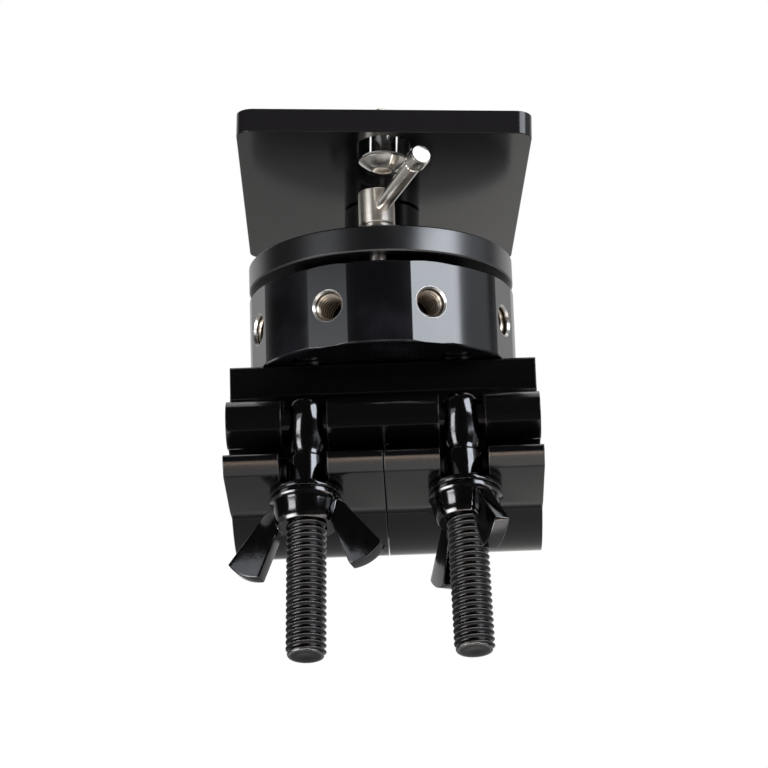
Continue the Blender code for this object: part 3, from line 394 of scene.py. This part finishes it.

# The swing bolts: forged steel with a round eye, a plain neck and a coarse rolled thread, black
# plated all over. The eye and neck are smooth, and the thread's crests are painted grey: partly rubbed wear,
# partly painted highlight. The two bolts hang a little askew on their pin.
bolt_x = 25.15
barrel_y = -36.0
barrel_z = 6.0
bolt_tilt = math.radians(12)
bolt_lean = {"left": math.radians(0.9), "right": math.radians(-0.95)}
bolt_side = {"left": -1, "right": 1}
bolt_shift = {"left": 0.7, "right": -0.35}
pin_hole = 4.25
eye_breadth = 1.16
neck_breadth = 0.86
breadth_run = 6.0
thread_pitch = 2.117
thread_crest = 6.35
thread_root = 5.40
thread_start = 30.0
bolt_reach = 80.1
bolt_chamfer = 1.1
bolt_face = 0.05
rim_radius = 5.1
rim_depth = bolt_reach - 0.45


def bolt_place(side):
    """Where a swing bolt hangs: its pin's centre, with the bolt pointing down local Z."""
    x = bolt_side[side] * bolt_x + bolt_shift[side]
    return (Matrix.Translation(Vector((x, barrel_y, barrel_z)) * mm)
            @ Matrix.Rotation(bolt_lean[side], 4, "Y") @ Matrix.Rotation(-bolt_tilt, 4, "X"))


def settle(piece, place):
    """Put a piece in its place, in its mesh."""
    piece.data.transform(place)
    piece.data.update()
    return piece


def turned(name, outline, steps=128, closed=True):
    """A piece turned on a lathe: an outline of (radius, height) in millimetres, spun about Z."""
    mesh = bpy.data.meshes.new(name)
    count = len(outline)
    edges = [(index, index + 1) for index in range(count - 1)]
    if closed:
        edges.append((count - 1, 0))
    mesh.from_pydata([(radius * mm, 0, height * mm) for radius, height in outline], edges, [])
    piece = bpy.data.objects.new(name, mesh)
    scene.collection.objects.link(piece)
    pick(piece)
    bpy.ops.object.mode_set(mode="EDIT")
    bpy.ops.mesh.select_all(action="SELECT")
    bpy.ops.mesh.spin(steps=steps, angle=2 * math.pi, center=(0, 0, 0), axis=(0, 0, 1))
    bpy.ops.mesh.select_all(action="SELECT")
    bpy.ops.mesh.remove_doubles(threshold=merge_gap)
    bpy.ops.mesh.normals_make_consistent(inside=False)
    bpy.ops.object.mode_set(mode="OBJECT")
    smooth_below(piece, smooth_angle)
    return piece


def joined(name, pieces):
    """Several meshes made one piece."""
    bpy.ops.object.select_all(action="DESELECT")
    for piece in pieces:
        piece.select_set(True)
    bpy.context.view_layer.objects.active = pieces[0]
    bpy.ops.object.join()
    pieces[0].name = name
    return pieces[0]


def cut_away(piece, cutter):
    """Take one closed shape out of another."""
    apply_modifier(piece, "BOOLEAN", operation="DIFFERENCE", solver="EXACT", object=cutter)
    bpy.data.objects.remove(cutter)


def drill(piece, radius, depth, middle, turn=(0, 0, 0), sides=32):
    """Cut a round hole with a cylinder, its sizes and its middle in millimetres."""
    bpy.ops.mesh.primitive_cylinder_add(vertices=sides, radius=radius * mm, depth=depth * mm,
                                        location=Vector(middle) * mm, rotation=turn)
    cut_away(piece, bpy.context.object)


def screw_thread(name, crest, root, pitch, start, turns, inside=False, steps=56):
    """A right-handed thread: one rounded groove swept up and round Z, to a start height."""
    points = 13
    section = []
    for index in range(points):
        part = index / (points - 1)
        wave = 0.5 - 0.5 * math.cos(2 * math.pi * part)
        groove = wave ** 0.55
        tooth = 1 - abs(2 * part - 1)
        radius = root + (crest - root) * (tooth if inside else 1 - groove)
        section.append((radius * mm, 0, (start - (turns + 1 - part) * pitch) * mm))
    mesh = bpy.data.meshes.new(name)
    mesh.from_pydata(section, [(index, index + 1) for index in range(points - 1)], [])
    piece = bpy.data.objects.new(name, mesh)
    scene.collection.objects.link(piece)
    apply_modifier(piece, "SCREW", screw_offset=pitch * mm, iterations=turns, steps=steps,
                   render_steps=steps, use_merge_vertices=True, merge_threshold=0.000001,
                   use_normal_calculate=True)
    return piece


def trim_thread(piece, largest, low, high):
    """Turn a thread down to the largest radius at each height, and face it off at both ends."""
    for point in piece.data.vertices:
        height = point.co.z / mm
        radius = math.hypot(point.co.x, point.co.y) / mm
        limit = largest(height)
        if radius > limit:
            point.co.x *= limit / radius
            point.co.y *= limit / radius
        point.co.z = min(max(height, low), high) * mm


def bolt_limit(height):
    """The largest radius of a swing bolt's thread at a height: its end is chamfered."""
    past = min(-height, bolt_reach) - (bolt_reach - bolt_chamfer)
    return thread_crest - 0.75 * max(0.0, past)


def paint_crests(piece, place, low, high, rim=None):
    """Store how far each point stands out from the axis, and give the end rim the full crest share."""
    crest_share = piece.data.attributes.new("crest_share", "FLOAT", "POINT")
    back = place.inverted()
    for index, point in enumerate(piece.data.vertices):
        local = back @ point.co
        radius = math.hypot(local.x, local.y) / mm
        crest_share.data[index].value = min(1.0, max(0.0, (radius - low) / (high - low)))
        if rim and -local.z / mm > rim and radius > rim_radius:
            crest_share.data[index].value = 1.0


def tone_over(material, share, tone):
    """Lay one more tone over a material's colour, as far as a mask says."""
    tree = material.node_tree
    base = tree.nodes["Principled BSDF"].inputs["Base Color"]
    tree.links.new(mixed_tone(tree, share, base.links[0].from_socket, tone), base)


# The lighter tone on the edges of eyes, washers and wings is partly wear and partly a painted highlight
# along the edges.
plated_black = metal_finish("black_plated_forging", tone=(0.105, 0.104, 0.108), edge_wear_and_highlight=(0.45, 0.45, 0.46),
                            shine=0.11, stretch=(280, 280, 280), relief=0.000035, metallic=1.0, patch=60.0,
                            dust=0.10, edge_round=0.00025, edge_wear_and_highlight_share=0.60)
thread_black = metal_finish("black_rolled_thread", tone=(0.046, 0.045, 0.047), edge_wear_and_highlight=(0.20, 0.20, 0.20),
                            shine=0.28, stretch=(300, 300, 900), relief=0.000001, metallic=1.0, patch=80.0,
                            dust=0.35, edge_round=0.0001, edge_wear_and_highlight_share=0.0)
# The grey on the thread crests and end rims is partly rubbed wear and partly a painted highlight.
crest_wear_and_highlight_grey = (0.30, 0.30, 0.30)
tree = thread_black.node_tree
crest_mark = tree.nodes.new("ShaderNodeAttribute")
crest_mark.attribute_name = "crest_share"
tone_over(thread_black, ramp(tree, crest_mark.outputs["Fac"], 0.70, 1.0, 0.0, 0.90), crest_wear_and_highlight_grey)

for side in ("left", "right"):
    place = bolt_place(side)
    eye_bolt = turned("eye_bolt_forging_" + side, [
        (0, 7.35), (3.4, 7.25), (5.3, 6.4), (6.1, 4.8), (6.25, 2.6), (6.25, 0.0), (6.2, -2.6),
        (6.1, -5.0), (5.8, -7.2), (5.3, -9.0), (4.75, -10.4), (4.5, -11.5), (4.7, -12.9), (0, -12.9)],
        steps=48, closed=False)
    for point in eye_bolt.data.vertices:
        below = min(1.0, max(0.0, -point.co.z / (breadth_run * mm)))
        point.co.y *= eye_breadth - (eye_breadth - neck_breadth) * below
    pick(eye_bolt)
    bpy.ops.object.shade_smooth()
    apply_modifier(eye_bolt, "SUBSURF", levels=2, render_levels=2)
    drill(eye_bolt, pin_hole, depth=40, middle=(0, 0, 0), turn=(0, math.pi / 2, 0), sides=64)
    smooth_below(eye_bolt, math.radians(30))
    neck = turned("neck", [
        (0, -12.6), (5.1, -12.6), (5.4, -12.75), (5.58, -13.1), (5.62, -13.6), (5.6, -16.0),
        (5.55, -21.0), (5.55, -32.0), (0, -32.0)], closed=False)
    eye_bolt = joined("eye_bolt_forging_" + side, [eye_bolt, neck])
    dress(settle(eye_bolt, place), plated_black, "bolt_" + side, "black_plated_steel", "eye_bolt_" + side)

    turns = int((bolt_reach - thread_start) / thread_pitch) + 2
    thread = screw_thread("thread", thread_crest, thread_root, thread_pitch, -thread_start, turns)
    pick(thread)
    bpy.ops.object.shade_smooth()
    trim_thread(thread, bolt_limit, bolt_face - bolt_reach, -thread_start)
    core = turned("core", [
        (0, -thread_start), (5.38, -thread_start), (5.38, 0.5 - bolt_reach), (5.56, 0.2 - bolt_reach),
        (5.5, 0.04 - bolt_reach), (5.2, -bolt_reach), (2.4, 0.02 - bolt_reach), (1.6, 0.16 - bolt_reach),
        (0, 0.22 - bolt_reach)], closed=False)
    thread = joined("bolt_thread_" + side, [thread, core])
    settle(thread, place)
    paint_crests(thread, place, thread_root, thread_crest, rim=rim_depth)
    dress(thread, thread_black, "bolt_" + side, "black_plated_steel")

# The flat washers under the wing nuts: stamped steel rings, black plated, with rolled edges. They
# slide on the bolts between the nuts and the lips of the jaws.
washer_top = -25.0
washer_low = -27.0
washer_bore = 6.5
washer_flat = 11.2
washer_radius = 11.65
for side in ("left", "right"):
    washer = turned("washer_" + side, [
        (washer_bore, washer_top), (washer_flat, washer_top), (11.5, washer_top - 0.1),
        (washer_radius, washer_top - 0.4), (washer_radius, washer_low + 0.4), (11.5, washer_low + 0.1),
        (washer_flat, washer_low), (washer_bore, washer_low)])
    dress(settle(washer, bolt_place(side)), plated_black, "washer_" + side, "black_plated_steel",
          "nut_washer_" + side)

# The wing nuts: cast with a flanged cone and two flat wings that sweep down and out, then black
# plated. Seams of the mould are dressed off and every corner is soft.
nut_top = -27.1
nut_low = -36.8
nut_bore = 6.55
flange_radius = 11.65
nut_turn = {"left": math.radians(-18), "right": math.radians(-66)}
wing_thickness = 4.8
wing_half = 6.0
wing_edge = 0.35
wing_droop = math.radians(29)
wing_tip = Vector((20.3, -22.2))
wing_root = Vector((8.4, -8.9))
tip_bulge = 1.5
shoulder = Vector((9.0, -8.8))
shoulder_radius = 6.5

across_wing = Vector((math.cos(wing_droop), math.sin(wing_droop)))
along_wing = Vector((math.sin(wing_droop), -math.cos(wing_droop)))
wing_outline = []
for angle in (90, 80, 66, 53, 39, 25):
    spoke = Vector((math.cos(math.radians(angle)), math.sin(math.radians(angle))))
    wing_outline.append(shoulder + shoulder_radius * spoke)
for index in range(9):
    part = 1 - index / 4
    wing_outline.append(wing_tip + across_wing * wing_half * part
                        + along_wing * tip_bulge * (1 - part ** 2))
wing_outline.append(wing_root)

for side in ("left", "right"):
    cone = turned("cone", [
        (nut_bore, nut_top), (11.2, nut_top), (flange_radius, nut_top - 0.45),
        (flange_radius, nut_top - 1.6), (11.15, nut_top - 2.3), (10.9, nut_top - 3.6),
        (10.4, nut_top - 6.0), (9.8, nut_top - 8.2), (9.2, nut_low + 0.3), (8.9, nut_low),
        (nut_bore, nut_low)])
    shells = [cone]
    for sign in (1, -1):
        mesh = bpy.data.meshes.new("wing")
        corners = [(sign * point.x * mm, -wing_thickness / 2 * mm, (point.y + nut_top) * mm)
                   for point in wing_outline]
        mesh.from_pydata(corners, [], [list(range(len(corners)))])
        wing = bpy.data.objects.new("wing", mesh)
        scene.collection.objects.link(wing)
        pick(wing)
        bpy.ops.object.mode_set(mode="EDIT")
        bpy.ops.mesh.select_all(action="SELECT")
        bpy.ops.mesh.extrude_region_move(TRANSFORM_OT_translate={"value": (0, wing_thickness * mm, 0)})
        bpy.ops.mesh.select_all(action="SELECT")
        bpy.ops.mesh.normals_make_consistent(inside=False)
        bpy.ops.object.mode_set(mode="OBJECT")
        apply_modifier(wing, "BEVEL", width=wing_edge * mm, segments=3, limit_method="ANGLE",
                       angle_limit=math.radians(40))
        shells.append(wing)
    nut = joined("wing_nut_casting_" + side, shells)
    smooth_below(nut, math.radians(30))
    settle(nut, bolt_place(side) @ Matrix.Rotation(nut_turn[side], 4, "Z"))
    dress(nut, plated_black, "nut_" + side, "black_plated_steel", "wing_nut_" + side)

# The drum: turned from aluminium bar, with eight milled flats, a cup for the ball and counterbores
# below, all black anodised. The tapped holes were cut afterwards, so their mouths are bare.
drum_low = 30.0
drum_high = 57.45
drum_radius = 44.45
drum_edge = 0.5
flat_half = 6.88
flat_face = math.sqrt(drum_radius ** 2 - flat_half ** 2)
flat_cut = 10
flat_tool_width = 30
flat_tool_height = 40
flat_angles = [math.radians(22.5 + 45 * index) for index in range(8)]
ball_z = 55.5
cup_radius = 22.5
hole_height = (drum_low + drum_high) / 2
mouth_radius = 5.40
mouth_depth = 1.2
hole_depth = 15.0
overshoot = 0.2
tap_bore = 4.78
tap_bite = 4.05
tap_pitch = 1.5875
screw_circle = 34.8
screw_hole = 3.3
counterbore = 5.25
counterbore_depth = 8
lock_y = -38
lock_hole = 2.65
clamp_bolt_hole = 4.1

cup = [(cup_radius * math.cos(math.radians(angle)), ball_z - cup_radius * math.sin(math.radians(angle)))
       for angle in range(0, 90, 6)]
drum = turned("drum_body", [
    (0, drum_low), (drum_radius - drum_edge, drum_low), (drum_radius, drum_low + drum_edge),
    (drum_radius, drum_high - drum_edge), (drum_radius - drum_edge, drum_high),
    (cup_radius + 0.6, drum_high), (cup_radius, drum_high - 0.6)] + cup + [(0, ball_z - cup_radius)],
    steps=256, closed=False)
level = Vector((0, 0, hole_height))
for angle in flat_angles:
    outward = Vector((math.cos(angle), math.sin(angle), 0))
    bpy.ops.mesh.primitive_cube_add(
        size=1, location=(outward * (flat_face + flat_cut / 2) + level) * mm, rotation=(0, 0, angle),
        scale=(flat_cut * mm, flat_tool_width * mm, flat_tool_height * mm))
    cut_away(drum, bpy.context.object)
    drill(drum, mouth_radius, depth=hole_depth + overshoot,
          middle=outward * (flat_face - (hole_depth - overshoot) / 2) + level,
          turn=(0, math.pi / 2, angle), sides=64)


def four_spots(radius):
    """Four places on a circle, halfway between the axes."""
    return [(radius * math.cos(math.radians(angle)), radius * math.sin(math.radians(angle)))
            for angle in (45, 135, 225, 315)]


for x, y in four_spots(screw_circle):
    drill(drum, counterbore, depth=2 * counterbore_depth, middle=(x, y, drum_low), sides=64)
    drill(drum, screw_hole, depth=80, middle=(x, y, drum_high))
drill(drum, lock_hole, depth=30, middle=(0, lock_y, drum_high))
for sign in (-1, 1):
    drill(drum, clamp_bolt_hole, depth=22, middle=(sign * bolt_x, 0, drum_low))
smooth_below(drum, math.radians(4))
turned_black = metal_finish("turned_black_anodised", tone=(0.003, 0.003, 0.004), edge_wear_and_highlight=(0.14, 0.14, 0.15),
                            shine=0.18, stretch=(60, 60, 5200), relief=0.0000015, dust=0.10,
                            edge_round=0.0002, edge_wear_and_highlight_share=0.3, ior=1.85, contrast=0.8, shine_spread=0.08,
                            patch=45.0, smudge=(0.011, 0.011, 0.015))
dress(drum, turned_black, "clamp_and_drum", "satin_black_aluminium", "drum")

# The mouths and threads of the eight tapped holes. Each thread carries painted light: a painted highlight on
# its crests and painted shade in its roots.
bare_aluminium = metal_finish("bare_cut_aluminium", tone=(0.78, 0.76, 0.74), edge_wear_and_highlight=(0.92, 0.92, 0.92),
                              shine=0.30, stretch=(700, 700, 700), relief=0.000004, metallic=1.0, dust=0.0,
                              edge_round=0.0001, edge_wear_and_highlight_share=0.2)
tapped_aluminium = metal_finish("tapped_aluminium_thread", tone=(0.30, 0.25, 0.20), edge_wear_and_highlight=(0.5, 0.48, 0.45),
                                shine=0.34, stretch=(500, 500, 500), relief=0.000004, metallic=0.85,
                                dust=0.0, edge_round=0.0001, edge_wear_and_highlight_share=0.0)
# Painted shade in the thread roots and a painted highlight on the crests, mixed by how far a point stands
# out from the axis.
painted_root_shade = (0.050, 0.038, 0.028)
painted_crest_highlight = (0.90, 0.80, 0.68)
tree = tapped_aluminium.node_tree
thread_light_mark = tree.nodes.new("ShaderNodeAttribute")
thread_light_mark.attribute_name = "crest_share"
painted_highlight_share = ramp(tree, thread_light_mark.outputs["Fac"], 0.85, 0.15)
tree.links.new(mixed_tone(tree, painted_highlight_share, painted_root_shade, painted_crest_highlight),
               tree.nodes["Principled BSDF"].inputs["Base Color"])
for number, angle in enumerate(flat_angles, start=1):
    hole_place = (Matrix.Rotation(angle, 4, "Z")
                  @ Matrix.Translation((flat_face * mm, 0, hole_height * mm))
                  @ Matrix.Rotation(math.pi / 2, 4, "Y"))
    mouth = turned("tapped_hole_mouth_%d" % number, [
        (mouth_radius, -mouth_depth), (mouth_radius, -0.02), (mouth_radius - 0.12, -0.02),
        (tap_bore - 0.1, -0.78), (tap_bore, -0.95), (tap_bore, -mouth_depth)], steps=64)
    dress(settle(mouth, hole_place), bare_aluminium, "clamp_and_drum", "satin_black_aluminium")
    inner = screw_thread("inner", tap_bite, tap_bore, tap_pitch, -0.80, 8, inside=True, steps=40)
    well = turned("well", [
        (mouth_radius, -mouth_depth), (tap_bore + 0.1, -mouth_depth), (tap_bore + 0.1, 0.1 - hole_depth),
        (0, -hole_depth), (0, -hole_depth - 0.2), (mouth_radius, -hole_depth - 0.2)], steps=64)
    lining = joined("tapped_hole_%d" % number, [well, inner])
    smooth_below(lining, math.radians(40))
    settle(lining, hole_place)
    paint_crests(lining, hole_place, tap_bite, tap_bore)
    dress(lining, tapped_aluminium, "clamp_and_drum", "satin_black_aluminium")

# The clamp ring: a turned aluminium disc that presses on the ball from above. It is bead blasted
# before anodising, so it is duller than the drum, and it has a fine chamfer on both rims.
ring_low = 60.55
ring_high = 69.25
ring_edge = 0.45
blind_depth = 6.8
seat_radius = 20.75
seat_share = 0.68
seat_steps = 8
seat = []
for index in range(seat_steps + 1):
    height = ring_low + seat_share * (ring_high - ring_low) * (1 - index / seat_steps)
    seat.append((math.sqrt(seat_radius ** 2 - (height - ball_z) ** 2), height))
ring = turned("clamp_ring_disc", [
    (drum_radius - ring_edge, ring_low), (drum_radius, ring_low + ring_edge),
    (drum_radius, ring_high - ring_edge), (drum_radius - ring_edge, ring_high),
    (seat[0][0] + 1.0, ring_high), (seat[0][0], ring_high - 1.0)] + seat, steps=256)
drill(ring, lock_hole, depth=60, middle=(0, lock_y, ring_low))
for x, y in four_spots(screw_circle):
    drill(ring, screw_hole, depth=2 * blind_depth, middle=(x, y, ring_low))
smooth_below(ring, math.radians(12))
blasted_black = metal_finish("blasted_black_anodised", tone=(0.006, 0.006, 0.0075), edge_wear_and_highlight=(0.14, 0.14, 0.15),
                             shine=0.29, stretch=(900, 900, 5200), relief=0.000002, dust=0.10,
                             edge_round=0.0002, edge_wear_and_highlight_share=0.3, ior=2.0, contrast=0.6, shine_spread=0.05)
dress(ring, blasted_black, "clamp_and_drum", "satin_black_aluminium", "clamp_ring")

# The lock lever: a stainless hub that screws the ring down, with a polished arm pressed into its
# side and a thicker end for the thumb. A thin bright collar spreads its load on the ring.
hub_radius = 5.92
hub_top = 13.2
screw_pocket = 9.72
arm_height = 6.47
arm_bearing = -66.5
arm_rise = 10
stainless = metal_finish("turned_stainless", tone=(0.84, 0.79, 0.73), edge_wear_and_highlight=(0.92, 0.89, 0.85), shine=0.42,
                         stretch=(90, 90, 3600), relief=0.000002, metallic=1.0, dust=0.05,
                         edge_round=0.0001, edge_wear_and_highlight_share=0.2, along=0.85)
polished_steel = metal_finish("polished_steel", tone=(0.80, 0.77, 0.72), edge_wear_and_highlight=(0.90, 0.88, 0.86), shine=0.22,
                              stretch=(160, 160, 2500), relief=0.000001, metallic=1.0, dust=0.1,
                              edge_round=0.0001, edge_wear_and_highlight_share=0.2)
lever_place = Matrix.Translation((0, lock_y * mm, ring_high * mm))
arm_place = (lever_place @ Matrix.Translation((0, 0, arm_height * mm))
             @ Matrix.Rotation(math.radians(arm_bearing), 4, "Z")
             @ Matrix.Rotation(math.radians(90 - arm_rise), 4, "Y"))
collar = turned("lock_collar_ring", [
    (lock_hole, 0.2), (5.3, 0.2), (5.5, 0.4), (5.5, 1.2), (5.3, 1.4), (lock_hole, 1.4)])
dress(settle(collar, lever_place), stainless, "lock_lever", "stainless_steel", "lock_collar")
hub = turned("lock_hub", [
    (lock_hole, 1.6), (5.6, 1.6), (hub_radius, 1.9), (hub_radius, 12.5), (5.8, 12.9), (5.4, hub_top),
    (0, hub_top), (0, screw_pocket), (lock_hole, screw_pocket)], closed=False)
dress(settle(hub, lever_place), stainless, "lock_lever", "stainless_steel", "lock_lever_hub")
arm = turned("lock_arm", [
    (0, 3.9), (2.45, 3.9), (2.78, 31.8), (2.55, 32.1), (2.50, 32.9), (3.0, 33.3), (3.42, 33.8),
    (3.45, 38.0), (3.30, 38.5), (2.9, 38.8), (0, 39.0)], closed=False)
dress(settle(arm, arm_place), polished_steel, "lock_lever", "stainless_steel", "lock_lever_arm")
coat("lock_screw", stainless)

# The cup liner under the ball, a thin bowl, and the camera screw's washer: both are moulded of
# white low-friction plastic with a fine grain.
liner_plastic = metal_finish("white_liner_plastic", tone=(0.66, 0.65, 0.62), edge_wear_and_highlight=(0.75, 0.75, 0.72),
                             shine=0.45, stretch=(600, 600, 600), relief=0.000006, edge_wear_and_highlight_share=0.3)
coat("ball_cup_liner", liner_plastic)
coat("camera_screw_washer", liner_plastic)

# The column: a short turned post between ball and plate, satin black like the drum, with a bore
# for its bolt. Column and plate lean and turn a little on the ball.
head_lean = math.radians(2)
head_turn = math.radians(2)
column_radius = 12.7
column_bore = 4.2
column_low = 16.3
column_top = 33.3
bore_end = 24.0
plate_place = (Matrix.Translation((0, 0, ball_z * mm)) @ Matrix.Rotation(head_lean, 4, "Y")
               @ Matrix.Rotation(head_turn, 4, "Z"))
column = turned("column_post", [
    (column_bore, column_low), (12.1, column_low), (column_radius, column_low + 0.6),
    (column_radius, column_top - 0.4), (12.3, column_top), (0, column_top), (0, bore_end),
    (column_bore, bore_end)], closed=False)
dress(settle(column, plate_place), turned_black, "head", "satin_black_aluminium", "column")

# The camera plate: cut from rolled aluminium sheet, brushed from side to side, corners rounded, edges
# chamfered and black anodised. A counterbored slot near the front lets the camera screw slide.
plate_low = 33.5
plate_high = 41.12
plate_half = 46.7
plate_front = -76.2
plate_back = 50.8
plate_corner = 5.5
plate_edge = 0.4
slot_half = 4.45
slot_wide_half = 8.15
slot_wide_depth = 4.3
slot_margin = 3.2
slot_length = 47.5
slot_start = plate_front + slot_margin + slot_wide_half
slot_end = plate_front + slot_margin + slot_length - slot_wide_half
plate_screw_circle = 8
recess_radius = 4.85
recess_depth = 2.6
recess_cutter = 7
overcut = 5

bpy.ops.mesh.primitive_cube_add(
    size=1, location=(0, (plate_front + plate_back) / 2 * mm, (plate_low + plate_high) / 2 * mm),
    scale=(2 * plate_half * mm, (plate_back - plate_front) * mm, (plate_high - plate_low) * mm))
plate = bpy.context.object
plate.name = "camera_plate_sheet"
bpy.ops.object.transform_apply(location=True, rotation=True, scale=True)
bpy.ops.object.mode_set(mode="EDIT")
bpy.ops.mesh.select_mode(type="EDGE")
bpy.ops.mesh.select_all(action="DESELECT")
bpy.ops.object.mode_set(mode="OBJECT")
for edge in plate.data.edges:
    first, second = [plate.data.vertices[index].co for index in edge.vertices]
    edge.select = abs(first.x - second.x) < 1e-6 and abs(first.y - second.y) < 1e-6
bpy.ops.object.mode_set(mode="EDIT")
bpy.ops.mesh.bevel(offset=plate_corner * mm, segments=20, affect="EDGES")
bpy.ops.mesh.select_mode(type="VERT")
bpy.ops.object.mode_set(mode="OBJECT")


def slot_cutter(half_width, low, high):
    """A long round-ended cutter along the slot, made from a cylinder pulled apart in the middle."""
    bpy.ops.mesh.primitive_cylinder_add(vertices=96, radius=half_width * mm, depth=(high - low) * mm,
                                        location=(0, 0, (low + high) / 2 * mm))
    cutter = bpy.context.object
    bpy.ops.object.transform_apply(location=True, rotation=True, scale=True)
    for point in cutter.data.vertices:
        point.co.y += (slot_end if point.co.y > 1e-7 else slot_start) * mm
    return cutter


cut_away(plate, slot_cutter(slot_wide_half, plate_low - overcut, plate_low + slot_wide_depth))
cut_away(plate, slot_cutter(slot_half, plate_low - overcut, plate_high + overcut))
for x, y in four_spots(plate_screw_circle):
    drill(plate, recess_radius, depth=recess_cutter, sides=48,
          middle=(x, y, plate_high - recess_depth + recess_cutter / 2))
apply_modifier(plate, "BEVEL", width=plate_edge * mm, segments=3, limit_method="ANGLE",
               angle_limit=math.radians(50))
smooth_below(plate, smooth_angle)
apply_modifier(plate, "WEIGHTED_NORMAL", weight=100, keep_sharp=True)
brushed_black = metal_finish("brushed_black_anodised", tone=(0.0025, 0.0025, 0.003), edge_wear_and_highlight=(0.12, 0.12, 0.13),
                             shine=0.14, stretch=(28, 2600, 2600), relief=0.0000120, dust=0.06,
                             edge_round=0.0002, edge_wear_and_highlight_share=0.35, shine_spread=0.05,
                             smudge=(0.0065, 0.006, 0.0065))

# The milled edges of the plate are a little greyer than its brushed faces.
milled_grey = (0.020, 0.018, 0.020)
tree = brushed_black.node_tree
facing = tree.nodes.new("ShaderNodeNewGeometry")
upright = tree.nodes.new("ShaderNodeSeparateXYZ")
tree.links.new(facing.outputs["True Normal"], upright.inputs[0])
flatness = arithmetic(tree, "ABSOLUTE", upright.outputs["Z"])
tone_over(brushed_black, ramp(tree, flatness, 0.60, 0.20, 0.0, 0.85, smooth=False), milled_grey)
dress(settle(plate, plate_place), brushed_black, "head", "satin_black_aluminium", "camera_plate")

# The camera screw: polished steel with a domed head, a plain shank and a thread that keeps it in the
# slot. It hangs on the shoulder of its thread and has a hexagon socket below.
screw_y = -55.3
head_top = plate_low - 1.9
head_radius = 7.93
dome_height = 2.9
dome_low = head_top - 0.5 - dome_height
dome_flat = 3.0
dome_steps = 10
shank_radius = 3.95
camera_crest = 4.76
camera_root = 4.0
camera_tip = 3.26
socket_radius = 2.31
thread_foot = plate_high + 0.2
thread_top = thread_foot + 6.4
screw_end = thread_foot + 7.2


def camera_limit(height):
    """The largest radius of the camera screw's thread at a height: its end is chamfered."""
    return min(camera_crest, camera_tip + 1.1 * max(0.0, screw_end - height))


outline = [(0, dome_low)]
for index in range(dome_steps + 1):
    part = index / dome_steps
    outline.append((dome_flat + (head_radius - dome_flat) * part, dome_low + dome_height * part ** 1.4))
outline += [(head_radius, head_top - 0.3), (head_radius - 0.2, head_top), (shank_radius, head_top),
            (shank_radius, thread_foot), (4.2, thread_foot), (4.2, thread_foot + 6.0),
            (camera_tip, screw_end), (0, screw_end)]
camera_screw = turned("camera_screw_body", outline, closed=False)
drill(camera_screw, socket_radius, depth=5, middle=(0, 0, dome_low), sides=6)
camera_thread = screw_thread("camera_thread", camera_crest, camera_root, tap_pitch, thread_top, 4, steps=48)
trim_thread(camera_thread, camera_limit, thread_foot, thread_top)
camera_screw = joined("camera_screw_body", [camera_screw, camera_thread])
smooth_below(camera_screw, math.radians(35))
screw_place = plate_place @ Matrix.Translation((0, screw_y * mm, 0))
dress(settle(camera_screw, screw_place), polished_steel, "camera_screw", "bright_steel", "camera_screw")
